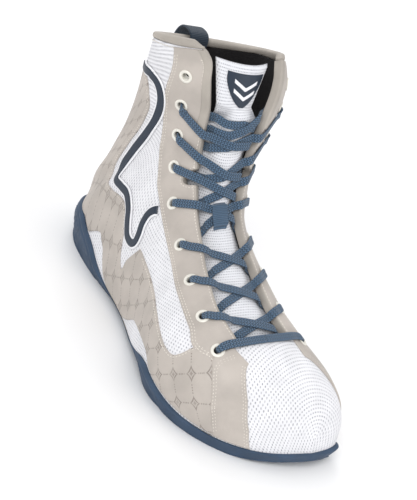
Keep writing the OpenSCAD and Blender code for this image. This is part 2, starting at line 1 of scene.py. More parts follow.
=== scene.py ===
"""Looks of a high-top lace-up boxing boot for the right foot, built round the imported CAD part.

Every layer of the upper lies on one surface, the same one that the CAD part sweeps: a point has an
angle from the front ridge, negative on the lateral side, a station from the toe, 0, to the collar,
18, and a distance outside the surface in millimetres.
"""
import math

import bmesh
import bpy
import numpy as np
from mathutils import Matrix, Vector

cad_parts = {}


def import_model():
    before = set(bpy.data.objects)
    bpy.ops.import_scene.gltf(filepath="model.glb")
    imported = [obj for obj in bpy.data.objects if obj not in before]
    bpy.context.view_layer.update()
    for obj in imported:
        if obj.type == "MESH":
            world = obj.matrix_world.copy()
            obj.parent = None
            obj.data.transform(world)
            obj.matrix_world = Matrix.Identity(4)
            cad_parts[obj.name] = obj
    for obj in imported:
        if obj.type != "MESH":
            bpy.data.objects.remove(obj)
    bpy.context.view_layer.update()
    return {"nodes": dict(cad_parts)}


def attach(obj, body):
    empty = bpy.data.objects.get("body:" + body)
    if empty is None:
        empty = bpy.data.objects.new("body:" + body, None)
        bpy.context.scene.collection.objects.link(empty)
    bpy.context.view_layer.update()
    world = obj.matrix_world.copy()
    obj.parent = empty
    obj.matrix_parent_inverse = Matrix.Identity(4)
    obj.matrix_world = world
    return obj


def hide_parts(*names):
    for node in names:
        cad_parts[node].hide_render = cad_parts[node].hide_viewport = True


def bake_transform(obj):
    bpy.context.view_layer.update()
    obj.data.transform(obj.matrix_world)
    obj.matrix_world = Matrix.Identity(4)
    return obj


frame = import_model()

MM = 0.001
LATERAL, MEDIAL = -1, 1
SIDES = ((LATERAL, "lateral"), (MEDIAL, "medial"))
BOOT, FLAP = "boot", "tongue_flap"

# ---- the surface of the upper -----------------------------------------------------------------
# Rear or lower end y, z; front or upper end y, z; middle x; half width lateral, medial; flat part
# of the bottom; height of the widest point; fullness of the arch
FORM = np.array([
    [-144, 11, -141, 21, 27, 0, 0, .92, .45, 2.0], [-142, 9, -135, 36, 25, 20, 22, .92, .45, 2.0],
    [-134, 8, -124, 47, 21, 37, 35, .93, .42, 2.1], [-117, 7, -109, 58, 14, 51, 42, .94, .38, 2.2],
    [-92, 6, -89, 66, 7, 58, 45, .94, .34, 2.2], [-60, 5, -66, 75, 3, 58, 44, .94, .31, 2.1],
    [-25, 5, -42, 85, 3, 51, 39, .93, .31, 2.1], [13, 5, -20, 95, 4, 42, 35, .92, .33, 2.1],
    [55, 5, -4, 106, 5, 38, 34, .91, .38, 2.1], [95, 6, 5, 118, 7, 37, 37, .90, .42, 2.1],
    [122, 7, 11, 130, 9, 37, 38, .76, .43, 2.1], [138, 10, 15, 142, 10, 37, 38, .40, .44, 2.15],
    [144, 19, 18, 153, 12, 37, 40, 0, .45, 2.2], [142, 40, 20, 163, 13, 39, 42, 0, .45, 2.2],
    [131, 68, 23, 174, 14, 42, 44, 0, .45, 2.2], [119, 98, 25, 184, 13, 45, 46, 0, .45, 2.2],
    [113, 128, 28, 194, 11, 47, 47, 0, .45, 2.2], [109, 156, 31, 202, 8, 49, 46, 0, .45, 2.15],
    [106, 183, 35, 208, 5, 49, 44, 0, .45, 2.1]], float)
LAST = len(FORM) - 1
FORM_ROWS = np.vstack([2 * FORM[0] - FORM[1], FORM, 2 * FORM[-1] - FORM[-2]])
COLLAR_V, COLLAR_BACK_V, THROAT_V, TOE_SEAM_V = 17.5, 17.78, 3.85, 3.0
SOLE_BACK_V = 12.3
SHELL_T, LINING_T = 2.5, 1.5
FEATHER = [[0, 160], [10, 160], [12, 180]]
THROAT = {
    LATERAL: [[3.5, 33], [3.85, 29], [5, 29], [6.5, 30], [8, 31], [9, 33], [10, 35], [11, 36],
              [12, 38], [14, 39], [15.5, 41], [17, 41], [17.5, 45], [18, 58]],
    MEDIAL: [[3.5, 13], [3.85, 12], [6, 12], [7, 13], [8, 14], [9, 15], [10, 17], [11, 17], [12, 16],
             [13, 15], [14, 16], [15, 18], [16, 21], [17, 26], [17.5, 31], [18, 42]]}
STAY_W = [[3.5, 21], [4.3, 26], [5, 24], [6.3, 26], [8.2, 27], [10, 26], [11.2, 26], [12.5, 28],
          [13.5, 30], [14.7, 34], [15.6, 35], [16.7, 32], [17.5, 28]]
WALL_TOP = [[0, 137], [0.9, 140], [1.5, 147], [2.2, 154], [3, 156], [3.6, 152], [4.2, 143],
            [4.6, 133], [5, 123], [5.2, 119], [5.5, 123], [5.9, 142], [6.3, 156], [7.7, 156],
            [8, 152], [8.4, 144], [8.8, 136], [9.4, 132], [10.1, 129], [11.2, 134], [12, 150],
            [12.3, 166]]
SOLE_DROP = [[0, 3], [1, 5], [2, 7], [2.6, 9], [9.8, 9], [10.5, 7], [11, 4.5], [11.6, 2], [12.3, 0]]
WALL_SHARE = [[5.3, 1], [5.9, 0.35], [7.7, 0.35], [8.3, 1]]
TREAD_INSET = [[0, 0], [1.2, 3], [5, 4.5], [5.8, 9], [7.6, 9], [8.4, 4.5], [10.5, 4], [11.3, 2],
               [11.9, 0]]
WING_FRONT = [[36, 3.4], [46, 3.06], [58, 2.7], [69, 2.45], [98, 2.17], [155, 2.05]]
WING_REAR = [[36, 3.75], [58, 3.85], [69, 3.55], [84, 3.3], [109, 3.15], [155, 3]]
SIDE_NEAR = [[3.2, 56], [4.3, 56], [4.36, 61], [4.44, 67], [4.56, 72], [4.74, 76], [5, 76.5], [6.4, 74],
             [7.1, 76], [7.6, 78], [8, 82]]
SIDE_FAR = [[3, 153], [4.2, 140], [4.6, 130], [5, 120], [5.2, 114], [5.4, 104], [5.7, 104],
            [6.15, 107], [6.5, 114], [6.7, 140], [6.9, 153]]
HEEL_NEAR = [[7.7, 108], [8.15, 102], [8.5, 90], [9.05, 85], [9.8, 83], [10.4, 87], [11, 93],
             [11.5, 98], [12.5, 98], [13.3, 92], [14, 88], [15, 86], [15.8, 92], [16.4, 102],
             [16.8, 118]]
HEEL_FAR = [[7.7, 152], [8, 146], [8.2, 136], [8.6, 121], [9.15, 114], [9.4, 130], [9.6, 164]]
STRIPE = [[118, 16.85], [104, 16.6], [92, 16.35], [83, 15.85], [77.5, 15.15], [77, 14.4],
          [80, 13.6], [85, 12.9], [89, 12.2], [89, 11.4], [85, 10.8], [81, 10.2], [81, 9.5],
          [84, 8.9], [86, 8.5], [84.5, 8.25], [81, 8.2], [77, 8.35], [73, 8.62], [68, 8.85],
          [64, 8.9], [61, 8.86]]
EYELETS = [[60, 44, 16], [60, 42, 14.6], [56, 38, 12.9], [51, 37, 10.8], [50, 36, 8.9],
           [47, 34, 7.3], [43, 29, 6.1], [41, 27, 5], [45, 30, 4]]
DROOP = [2.4, 2.1, 0.95, 0.1, 0.3, 0.15, 0.1]


def lerp(a, b, t):
    return a + (b - a) * t


def smooth(t):
    c = np.clip(t, 0, 1)
    return c * c * (3 - 2 * c)


def rolled(x, least):
    """Share of the full thickness at x rolls' radii in from a rounded edge."""
    return np.sqrt(np.clip(1 - (1 - np.clip(x, 0, 1)) ** 2, least, 1))


def superellipse(phi, power_x, power_y):
    """Cosine and sine flattened towards a rounded rectangle."""
    x, y = np.cos(phi), np.sin(phi)
    return np.sign(x) * np.abs(x) ** power_x, np.sign(y) * np.abs(y) ** power_y


def around(n):
    """n angles round a full turn."""
    return np.linspace(0, 2 * math.pi, n, endpoint=False)


def at(table, x):
    """Straight-line look-up in a table of pairs."""
    t = np.asarray(table, float)
    return np.interp(x, t[:, 0], t[:, 1])


def flow(table, x):
    """Smooth curve through a table of pairs."""
    t = np.asarray(table, float)
    x = np.clip(x, t[0, 0], t[-1, 0])
    slope = np.gradient(t[:, 1], t[:, 0])
    i = np.clip(np.searchsorted(t[:, 0], x, side="right") - 1, 0, len(t) - 2)
    h = t[i + 1, 0] - t[i, 0]
    u = (x - t[i, 0]) / h
    return ((2 * u ** 3 - 3 * u ** 2 + 1) * t[i, 1] + (u ** 3 - 2 * u ** 2 + u) * h * slope[i]
            + (3 * u ** 2 - 2 * u ** 3) * t[i + 1, 1] + (u ** 3 - u ** 2) * h * slope[i + 1])


def soft(table, x, reach):
    """Straight-line look-up averaged over a reach to each side, so that corners come out round."""
    return sum(at(table, x + reach * k) for k in np.linspace(-1, 1, 9)) / 9


def section(v):
    v = np.asarray(v, float)
    i = np.clip(np.floor(v).astype(int), 0, LAST - 1)
    t = (v - i)[..., None]
    p0, p1, p2, p3 = (FORM_ROWS[i + k] for k in range(4))
    return 0.5 * (2 * p1 + (p2 - p0) * t + (2 * p0 - 5 * p1 + 4 * p2 - p3) * t ** 2
                  + (3 * p1 - p0 - 3 * p2 + p3) * t ** 3)


def skin(a, v):
    """Points of the upper's outer surface."""
    a, v = np.broadcast_arrays(np.asarray(a, float), np.asarray(v, float))
    s = section(v)
    m = np.radians(np.abs(a))
    sine, cosine = np.abs(np.sin(m)), np.abs(np.cos(m))
    width = np.where(a < 0, s[..., 5], s[..., 6])
    top = m <= math.pi / 2
    power, flat, waist = 2 / s[..., 9], s[..., 7], s[..., 8]
    x = width * np.where(top, sine ** power, flat + (1 - flat) * sine)
    t = np.where(top, waist + (1 - waist) * cosine ** power, waist * (1 - cosine))
    return np.stack([s[..., 4] + np.sign(a) * x, lerp(s[..., 0], s[..., 2], t),
                     lerp(s[..., 1], s[..., 3], t)], -1)


def unit(p):
    return p / np.maximum(np.linalg.norm(p, axis=-1, keepdims=True), 1e-9)


def normal(a, v):
    u = np.clip(v, 0.08, LAST)
    b = np.minimum(178, np.abs(a)) * np.where(np.asarray(a) < 0, -1, 1)
    across = skin(b + 1, u) - skin(b - 1, u)
    along = skin(b, np.minimum(LAST, u + 0.04)) - skin(b, u - 0.04)
    return unit(np.cross(across, along))


def place(a, v, d):
    """Points at a distance d outside the surface; the two sides meet at the toe and back seams."""
    a, v, d = np.broadcast_arrays(*(np.asarray(q, float) for q in (a, v, d)))
    p = skin(a, v) + d[..., None] * normal(np.where(v < 0.01, -np.abs(a), a), v)
    s = section(v)
    seam = (v < 0.01) | ((np.abs(a) > 179.9) & (s[..., 7] < 0.001))
    p[..., 0] = np.where(seam, s[..., 4], p[..., 0])
    return p


def relief(a, v):
    """Soft creases where the ankle and the instep bend, shared by every layer of the upper."""
    a, v = np.broadcast_arrays(np.asarray(a, float), np.asarray(v, float))
    ankle = np.exp(-((v - 12.4) / 2.2) ** 2) * smooth((np.abs(a) - 48) / 25)
    side = np.exp(-((v - 7.2) / 1.8) ** 2) * smooth((np.abs(a) - 75) / 20) * smooth((150 - np.abs(a)) / 25)
    wave = np.sin(v * 3.1 + np.abs(a) * 0.055 + np.sign(a)) + 0.5 * np.sin(v * 5.3 - np.abs(a) * 0.03)
    return 0.42 * ankle * wave + 0.3 * side * np.sin(v * 4.1 + a * 0.04)


# Lengths over the surface, for patterns that keep their size: across from the front ridge, and up
MAP_A, MAP_V = np.linspace(-180, 180, 181), np.linspace(0, LAST, 181)
_grid = skin(MAP_A[:, None], MAP_V[None, :])
_across = np.linalg.norm(np.diff(_grid, axis=0), axis=-1)
_along = np.linalg.norm(np.diff(_grid, axis=1), axis=-1)
MAP_U = np.vstack([np.zeros((1, len(MAP_V))), np.cumsum(_across, 0)])
MAP_U -= MAP_U[len(MAP_A) // 2]
MAP_W = np.hstack([np.zeros((len(MAP_A), 1)), np.cumsum(_along, 1)])


def flat(a, v):
    """Lengths in millimetres over the surface at points of it."""
    a, v = np.broadcast_arrays(np.asarray(a, float), np.asarray(v, float))
    x = np.clip((a + 180) / 2, 0, len(MAP_A) - 1.001)
    y = np.clip(v * 10, 0, len(MAP_V) - 1.001)
    i, j = x.astype(int), y.astype(int)
    s, t = x - i, y - j
    out = [m[i, j] * (1 - s) * (1 - t) + m[i + 1, j] * s * (1 - t) + m[i, j + 1] * (1 - s) * t
           + m[i + 1, j + 1] * s * t for m in (MAP_U, MAP_W)]
    return np.stack(out, -1)


def beside(a, v, h):
    """Path h millimetres to the left, seen from outside, of a path over the surface."""
    p = skin(a, v)
    pa = skin(a + 0.5, v) - skin(a - 0.5, v)
    pv = (skin(a, np.minimum(v + 0.02, LAST)) - skin(a, v - 0.02)) / 0.04
    c = np.cross(unit(np.cross(pa, pv)), unit(np.gradient(p, axis=0))) * np.asarray(h)[..., None]
    aa, av, vv = (pa * pa).sum(-1), (pa * pv).sum(-1), (pv * pv).sum(-1)
    ra, rv = (pa * c).sum(-1), (pv * c).sum(-1)
    det = aa * vv - av * av
    return a + (ra * vv - rv * av) / det, v + (aa * rv - av * ra) / det


def resample(points, step):
    """The same smooth curve through points, at even steps; every column is carried along."""
    q = np.vstack([2 * points[0] - points[1], points, 2 * points[-1] - points[-2]])
    fine = []
    for i in range(1, len(q) - 2):
        t = np.linspace(0, 1, 16, endpoint=False)[:, None]
        fine.append(0.5 * (2 * q[i] + (q[i + 1] - q[i - 1]) * t
                           + (2 * q[i - 1] - 5 * q[i] + 4 * q[i + 1] - q[i + 2]) * t ** 2
                           + (3 * q[i] - q[i - 1] - 3 * q[i + 1] + q[i + 2]) * t ** 3))
    fine = np.vstack(fine + [points[-1:]])
    length = np.r_[0, np.cumsum(np.linalg.norm(np.diff(fine[:, :3], axis=0), axis=1))]
    n = max(2, int(round(length[-1] / step)))
    u = np.linspace(0, length[-1], n + 1)
    return np.stack([np.interp(u, length, fine[:, k]) for k in range(points.shape[1])], -1), u


# ---- meshes ------------------------------------------------------------------------------------
def obj(name, verts, faces, uv, material, slot, body=BOOT, nodes=()):
    """A shaded mesh from millimetre points, riding on a body and standing for CAD nodes."""
    mesh = bpy.data.meshes.new(name)
    mesh.from_pydata((np.asarray(verts) * MM).tolist(), [], faces)
    layer = mesh.uv_layers.new(name="mm")
    index = np.empty(len(mesh.loops), int)
    mesh.loops.foreach_get("vertex_index", index)
    layer.data.foreach_set("uv", np.asarray(uv, np.float32)[index].ravel())
    b = bmesh.new()
    b.from_mesh(mesh)
    bmesh.ops.recalc_face_normals(b, faces=b.faces)
    b.to_mesh(mesh)
    b.free()
    mesh.shade_smooth()
    mesh.materials.append(material)
    o = bpy.data.objects.new(name, mesh)
    bpy.context.scene.collection.objects.link(o)
    if body:
        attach(o, body)
    if nodes:
        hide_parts(*nodes)
    return o


def slab_faces(rows, cols, loop=False, zip_first=False):
    """Faces of a closed solid between an outer and an inner grid. loop closes the columns into a
    ring, and zip_first folds the first row onto itself."""
    def at_(k, i, j):
        if loop:
            j %= cols
        if zip_first and i == 0 and 2 * j > cols - 1:
            j = cols - 1 - j
        return k * rows * cols + i * cols + j
    faces = []
    spans = cols if loop else cols - 1
    for i in range(rows - 1):
        for j in range(spans):
            for k, order in ((0, 1), (1, -1)):
                ring = [at_(k, i, j), at_(k, i + 1, j), at_(k, i + 1, j + 1), at_(k, i, j + 1)]
                faces.append(ring[::order])
    if not loop:
        for i in range(rows - 1):
            faces.append([at_(0, i, 0), at_(1, i, 0), at_(1, i + 1, 0), at_(0, i + 1, 0)])
            e = cols - 1
            faces.append([at_(0, i + 1, e), at_(1, i + 1, e), at_(1, i, e), at_(0, i, e)])
    for i in ([rows - 1] if zip_first else [0, rows - 1]):
        for j in range(spans):
            faces.append([at_(0, i, j), at_(0, i, j + 1), at_(1, i, j + 1), at_(1, i, j)])
    out = []
    for f in faces:
        f = [x for n, x in enumerate(f) if x != f[n - 1]]
        if len(set(f)) > 2:
            out.append(f)
    return out


def slab(name, outer, inner, uv, material, slot, loop=False, zip_first=False, **more):
    rows, cols = outer.shape[:2]
    verts = np.vstack([outer.reshape(-1, 3), inner.reshape(-1, 3)])
    both = np.vstack([uv.reshape(-1, 2)] * 2)
    return obj(name, verts, slab_faces(rows, cols, loop, zip_first), both, material, slot, **more)


def border_distance(p, free):
    """Distance in millimetres of each grid point from the grid's borders named in free."""
    down = np.linalg.norm(np.diff(p, axis=0), axis=-1).cumsum(0)
    down = np.vstack([np.zeros((1, p.shape[1])), down])
    over = np.linalg.norm(np.diff(p, axis=1), axis=-1).cumsum(1)
    over = np.hstack([np.zeros((p.shape[0], 1)), over])
    far = np.full(p.shape[:2], 1e3)
    for key, dist in (("b", down), ("t", down[-1:] - down), ("l", over), ("r", over[:, -1:] - over)):
        if key in free:
            far = np.minimum(far, dist)
    return far


def sheet_piece(name, a, v, low, high, material, slot, free="btlr", edge=0.9, puff=0.0, reach=6.0,
                **more):
    """A layer of the upper with rolled edges on its free borders, slightly crowned by puff."""
    fold = relief(a, v)
    base = place(a, v, low + fold)
    far = border_distance(base, free)
    roll = rolled(far / edge, 0.02)
    top = low + (high - low) * roll + puff * (1 - np.exp(-far / reach))
    return slab(name, place(a, v, top + fold), base, flat(a, v), material, slot, **more)


def spread(n, length, edge=0.9):
    """Parameters from 0 to 1 that crowd near both ends, where an edge rolls over."""
    e = edge / length
    ends = np.array([0, 0.12, 0.35, 0.7]) * e
    return np.r_[ends, np.linspace(e, 1 - e, n), 1 - ends[::-1]]


def panel(side, v0, v1, near, far, nv, na, tall, wide):
    """Grid of angles and stations between two edges that depend on the station."""
    v = lerp(v0, v1, spread(nv, tall))[:, None]
    s = spread(na, wide)[None, :]
    return side * lerp(near(v), far(v), s), v + 0 * s


def cut(o, cutters):
    """Takes the cutters out of a piece."""
    for n, c in enumerate(cutters):
        m = o.modifiers.new(f"cut{n}", "BOOLEAN")
        m.operation, m.object, m.solver = "DIFFERENCE", c, "MANIFOLD"
    bake_modifiers(o)


def bake_modifiers(o):
    bpy.context.view_layer.update()
    fresh = bpy.data.meshes.new_from_object(o.evaluated_get(bpy.context.evaluated_depsgraph_get()))
    o.modifiers.clear()
    o.data = fresh


# ---- materials ---------------------------------------------------------------------------------
def rgb(r, g, b):
    """Linear colour from 0 to 255 screen values."""
    c = np.array([r, g, b]) / 255
    return tuple(np.where(c <= 0.04045, c / 12.92, ((c + 0.055) / 1.055) ** 2.4)) + (1.0,)


def shades(base, *factors):
    """A colour made darker or lighter by each factor."""
    return [tuple(k * c for c in base[:3]) + (1,) for k in factors]


class Paint:
    """Builds one node material; every call returns an output socket."""

    def __init__(self, name, rough, sheen=0.0, coat=0.0, specular=0.5):
        self.mat = bpy.data.materials.new(name)
        self.mat.use_nodes = True
        self.tree = self.mat.node_tree
        self.tree.nodes.clear()
        self.out = self.tree.nodes.new("ShaderNodeOutputMaterial")
        self.bsdf = self.tree.nodes.new("ShaderNodeBsdfPrincipled")
        self.tree.links.new(self.bsdf.outputs[0], self.out.inputs[0])
        self.bsdf.inputs["Roughness"].default_value = rough
        self.bsdf.inputs["Sheen Weight"].default_value = sheen
        self.bsdf.inputs["Coat Weight"].default_value = coat
        self.bsdf.inputs["Specular IOR Level"].default_value = specular
        uv = self.tree.nodes.new("ShaderNodeUVMap")
        uv.uv_map = "mm"
        split = self.add("ShaderNodeSeparateXYZ", {0: uv.outputs[0]})
        self.uv, self.u, self.v = uv.outputs[0], split.outputs[0], split.outputs[1]

    def add(self, kind, inputs=None, **props):
        n = self.tree.nodes.new(kind)
        for key, value in props.items():
            setattr(n, key, value)
        for key, value in (inputs or {}).items():
            if isinstance(value, bpy.types.NodeSocket):
                self.tree.links.new(value, n.inputs[key])
            else:
                n.inputs[key].default_value = value
        return n

    def op(self, name, a, b=0.0, c=0.0):
        return self.add("ShaderNodeMath", {0: a, 1: b, 2: c}, operation=name).outputs[0]

    def times(self, a, b):
        return self.op("MULTIPLY", a, b)

    def plus(self, a, b):
        return self.op("ADD", a, b)

    def off_centre(self, x):
        """Distance of x from the middle of its unit cell."""
        return self.op("ABSOLUTE", self.op("SUBTRACT", self.op("FRACT", x), 0.5))

    def ramp(self, x, lo, hi, to_lo=0.0, to_hi=1.0):
        inputs = {0: x, 1: lo, 2: hi, 3: to_lo, 4: to_hi}
        return self.add("ShaderNodeMapRange", inputs, interpolation_type="SMOOTHSTEP").outputs[0]

    def noise(self, size, detail=3.0, where=None):
        """Noise from 0 to 1 with blobs of about size millimetres."""
        if where is None:
            where = self.add("ShaderNodeTexCoord").outputs["Object"]
            scale = 1 / (size * MM)
        else:
            scale = 1 / size
        return self.add("ShaderNodeTexNoise", {"Vector": where, "Scale": scale, "Detail": detail}).outputs[0]

    def grain(self, size):
        where = self.add("ShaderNodeTexCoord").outputs["Object"]
        return self.add("ShaderNodeTexVoronoi", {"Vector": where, "Scale": 1 / (size * MM)}).outputs[0]

    def mix(self, t, a, b):
        n = self.add("ShaderNodeMix", {0: t, 6: a, 7: b}, data_type="RGBA")
        return n.outputs[2]

    def finish(self, colour, height=None, depth=0.3, rough=None):
        """Colour, and a relief whose whole height is depth millimetres."""
        self.tree.links.new(colour, self.bsdf.inputs["Base Color"])
        if rough is not None:
            self.tree.links.new(rough, self.bsdf.inputs["Roughness"])
        if height is not None:
            bump = self.add("ShaderNodeBump", {"Height": height, "Distance": depth * MM, "Strength": 1.0})
            self.tree.links.new(bump.outputs[0], self.bsdf.inputs["Normal"])
        return self.mat

    def dots(self, pitch, radius, tall=0.866):
        """1 inside dots of a staggered grid, 0 outside; rows lie tall pitches apart."""
        row = self.op("DIVIDE", self.v, pitch * tall)
        odd = self.times(self.op("FLOORED_MODULO", self.op("FLOOR", row), 2.0), 0.5)
        x = self.op("SUBTRACT", self.op("FRACT", self.plus(self.op("DIVIDE", self.u, pitch), odd)), 0.5)
        y = self.times(self.op("SUBTRACT", self.op("FRACT", row), 0.5), tall)
        far = self.op("SQRT", self.plus(self.times(x, x), self.times(y, y)))
        return self.ramp(far, radius * 1.35 / pitch, radius * 0.65 / pitch)


def mesh_cloth(name, base, hole, pitch=2.1):
    """Knit mesh with staggered rows of small dimples, painted darker inside as painted shade, more in some
    than in others.
    """
    p = Paint(name, 0.85, sheen=0.2, specular=0.25)
    dot = p.dots(pitch, pitch * 0.25, 1.2)
    tint = p.mix(p.ramp(p.noise(14), 0.3, 0.7), base, shades(base, 0.93)[0])
    # hole is the colour of the painted shade inside the dimples; noise makes it stronger in some than in
    # others
    colour = p.mix(p.times(dot, p.ramp(p.noise(2.5), 0.3, 0.7, 0.35, 0.85)), tint, hole)
    height = p.times(dot, -0.8)
    fuzz = p.times(p.noise(0.5), 0.35)
    return p.finish(colour, p.plus(height, fuzz), 0.32)


def smooth_leather(name, base, grain=1.1, rough=0.5):
    """Coated synthetic leather: fine pebble grain, faint creases and colour drift."""
    p = Paint(name, rough, specular=0.4)
    drift = p.ramp(p.noise(22, 4), 0.3, 0.7)
    cells = p.grain(grain)
    dark, light = shades(base, 0.88, 1.06)
    colour = p.mix(drift, dark, light)
    height = p.plus(p.times(cells, 0.5), p.times(p.noise(5), 0.6))
    return p.finish(colour, height, 0.16, p.ramp(p.noise(9), 0.2, 0.8, rough - 0.07, rough + 0.09))


def printed_leather(name, base, ink, pitch=22.0):
    """Synthetic leather with a tonal print: dotted diagonal lines with a small four-pointed star
    where they cross."""
    p = Paint(name, 0.52, specular=0.4)
    s = p.op("DIVIDE", p.plus(p.u, p.v), pitch)
    t = p.op("DIVIDE", p.op("SUBTRACT", p.u, p.v), pitch)
    x = p.off_centre(s)
    y = p.off_centre(t)
    line = {}
    for key, near, along in (("s", x, t), ("t", y, s)):
        bead = p.off_centre(p.times(along, 11.0))
        far = p.op("SQRT", p.plus(p.op("POWER", p.times(near, 11.0), 2.0), p.op("POWER", bead, 2.0)))
        line[key] = p.ramp(far, 0.42, 0.22)
    lines = p.op("MAXIMUM", line["s"], line["t"])
    far = p.op("POWER", p.plus(p.op("POWER", x, 0.72), p.op("POWER", y, 0.72)), 1 / 0.72)
    ring = p.times(p.ramp(far, 0.31, 0.27), p.ramp(far, 0.17, 0.2))
    core = p.times(p.ramp(far, 0.13, 0.09), 0.8)
    clear = p.ramp(far, 0.34, 0.38)
    print_ = p.op("MAXIMUM", p.times(lines, clear), p.op("MAXIMUM", ring, core))
    worn = p.times(print_, p.ramp(p.noise(3), 0.25, 0.6, 0.35, 0.8))
    drift = p.ramp(p.noise(22, 4), 0.3, 0.7)
    dark, light = shades(base, 0.9, 1.05)
    colour = p.mix(worn, p.mix(drift, dark, light), ink)
    height = p.plus(p.times(p.grain(1.1), 0.5), p.times(p.noise(5), 0.6))
    return p.finish(colour, height, 0.15)


def braid(name, base, pitch=2.0):
    """Woven lace: herringbone of two sets of slanting yarns."""
    p = Paint(name, 0.78, sheen=0.25, specular=0.25)
    leg = p.off_centre(p.op("DIVIDE", p.v, 2.0))
    yarn = p.op("SINE", p.times(p.plus(p.u, p.times(leg, 3.0)), 2 * math.pi / pitch))
    column = p.ramp(leg, 0.0, 0.12)
    # Yarn crowns painted lighter and the grooves between yarns darker: painted highlight and painted shade
    lit = p.times(p.ramp(yarn, -0.8, 0.9), column)
    dark, light = shades(base, 0.42, 1.5)
    return p.finish(p.mix(lit, dark, light), lit, 0.4)


def ribbed(name, base, pitch, rough=0.8, depth=0.3, along="v"):
    """Webbing with ribs one pitch apart, crossed by fine threads."""
    p = Paint(name, rough, sheen=0.2, specular=0.3)
    rib = p.op("SINE", p.times(p.v if along == "v" else p.u, 2 * math.pi / pitch))
    thread = p.op("SINE", p.times(p.u if along == "v" else p.v, 2 * math.pi / (pitch * 0.5)))
    h = p.plus(p.times(rib, 0.5), p.times(thread, 0.2))
    # Rib crests painted lighter and troughs darker from the same height: painted highlight and painted shade
    dark, light = shades(base, 0.7, 1.15)
    return p.finish(p.mix(p.ramp(h, -0.6, 0.6), dark, light), h, depth)


def soft_cloth(name, base, size=0.7, depth=0.2):
    """Brushed lining: short fibres and a faint knit."""
    p = Paint(name, 0.95, sheen=0.08, specular=0.1)
    h = p.plus(p.noise(size), p.times(p.dots(1.4, 0.4), -0.5))
    dark, light = shades(base, 0.7, 1.4)
    return p.finish(p.mix(p.ramp(p.noise(size), 0.35, 0.65), dark, light), h, depth)


def moulded(name, base, rough=0.62):
    """Moulded rubber: fine matt texture, a little scuffed."""
    p = Paint(name, rough, specular=0.35)
    dark, light = shades(base, 0.86, 1.1)
    colour = p.mix(p.ramp(p.noise(12, 5), 0.3, 0.7), dark, light)
    return p.finish(colour, p.noise(0.6), 0.07, p.ramp(p.noise(6), 0.2, 0.8, rough - 0.1, rough + 0.12))


def plain(name, base, rough, coat=0.0, depth=0.03):
    """Smooth coated or painted piece with a slight unevenness."""
    p = Paint(name, rough, coat=coat)
    dark, light = shades(base, 0.93, 1.04)
    return p.finish(p.mix(p.ramp(p.noise(4), 0.3, 0.7), dark, light), p.noise(1.5), depth)


# The second colour of the mesh pair is painted shade for the mesh's dimples
WHITE, DIMPLE_SHADE = rgb(236, 236, 239), rgb(146, 146, 154)
TAUPE, INK = rgb(186, 178, 170), rgb(128, 119, 112)
NAVY, BLUE = rgb(25, 40, 57), rgb(76, 100, 124)
M = {
    "mesh": mesh_cloth("mesh_white", WHITE, DIMPLE_SHADE),
    # The tongue mesh's second colour is painted shade for its dimples
    "tongue": mesh_cloth("tongue_white", rgb(232, 233, 237), rgb(140, 140, 150), 1.5),
    "leather": smooth_leather("leather_taupe", TAUPE),
    "printed": printed_leather("leather_printed", TAUPE, INK),
    "binding": smooth_leather("binding_taupe", rgb(174, 167, 158), 0.8, 0.6),
    "film": plain("film_navy", NAVY, 0.42, depth=0.05),
    "piping": plain("film_white", rgb(236, 236, 239), 0.5),
    "lining": soft_cloth("lining_black", rgb(42, 40, 41)),
    "foam": soft_cloth("footbed_black", rgb(34, 34, 38), 0.9, 0.25),
    "lace": braid("lace_blue", BLUE),
    "keeper": ribbed("keeper_blue", BLUE, 1.0),
    "webbing": ribbed("webbing_navy", rgb(36, 52, 68), 1.1, along="u"),
    "rubber": moulded("rubber_blue", rgb(58, 76, 98)),
    "eyelet": plain("eyelet_cream", rgb(229, 226, 216), 0.35, coat=0.3),
    "thread": plain("thread_pale", rgb(222, 216, 206), 0.7),
    "aglet": plain("aglet_blue", rgb(40, 55, 75), 0.3, coat=0.4),
    "board": soft_cloth("board_fibre", rgb(190, 182, 168), 1.2, 0.1),
}

# ---- shell and lining --------------------------------------------------------------------------
SIDE_COLS, FRONT_COLS = 46, 22
NOTCH_V, NOTCH_TALL, NOTCH_DEEP = 9.9, 0.42, 9.0


def notch(v):
    """Depth in degrees of the rounded flex notch between two eyelets."""
    return NOTCH_DEEP * np.clip(1 - ((v - NOTCH_V) / NOTCH_TALL) ** 2, 0, 1) ** 0.5


def throat(side, v):
    """Angle of the throat's edge."""
    return flow(THROAT[side], np.maximum(v, THROAT_V)) + notch(v)


def seam_v(m):
    return lerp(TOE_SEAM_V, THROAT_V, smooth((80 - m) / 25))


def collar_v(m):
    """Station of the collar binding's lower edge at an angle."""
    return lerp(COLLAR_V, COLLAR_BACK_V, smooth((m - 50) / 60))


def rim_v(side, m):
    """Station of the collar's upper edge at an angle; it falls towards the throat."""
    return LAST - 0.35 * (1 - smooth((m - at(THROAT[side], COLLAR_V)) / 10))


def quarter_grid(side, rows=150):
    stations = spread(rows, 300)[:, None]
    s = spread(SIDE_COLS, 110)[None, :]
    m0 = lerp(160, at(THROAT[side], THROAT_V), s)
    top = collar_v(lerp(180, at(THROAT[side], COLLAR_V), s))
    v = lerp(seam_v(m0), top, stations)
    return side * lerp(at(FEATHER, v), throat(side, v), s), v


def vamp_grid(rows=64):
    left = -lerp(160, at(THROAT[LATERAL], THROAT_V), np.linspace(0, 1, SIDE_COLS + 1))
    right = lerp(at(THROAT[MEDIAL], THROAT_V), 160, np.linspace(0, 1, SIDE_COLS + 1))
    front = np.linspace(left[-1], right[0], FRONT_COLS + 1)[1:-1]
    angles = np.r_[left, front, right]
    even = np.linspace(-160, 160, len(angles))
    u = np.linspace(0, 1, rows)[:, None]
    return lerp(even[None, :], angles[None, :], np.minimum(1, 2 * u)), u * seam_v(np.abs(angles))[None, :]


def eyelet_angle(side, e):
    return -e[0] if side < 0 else e[1]


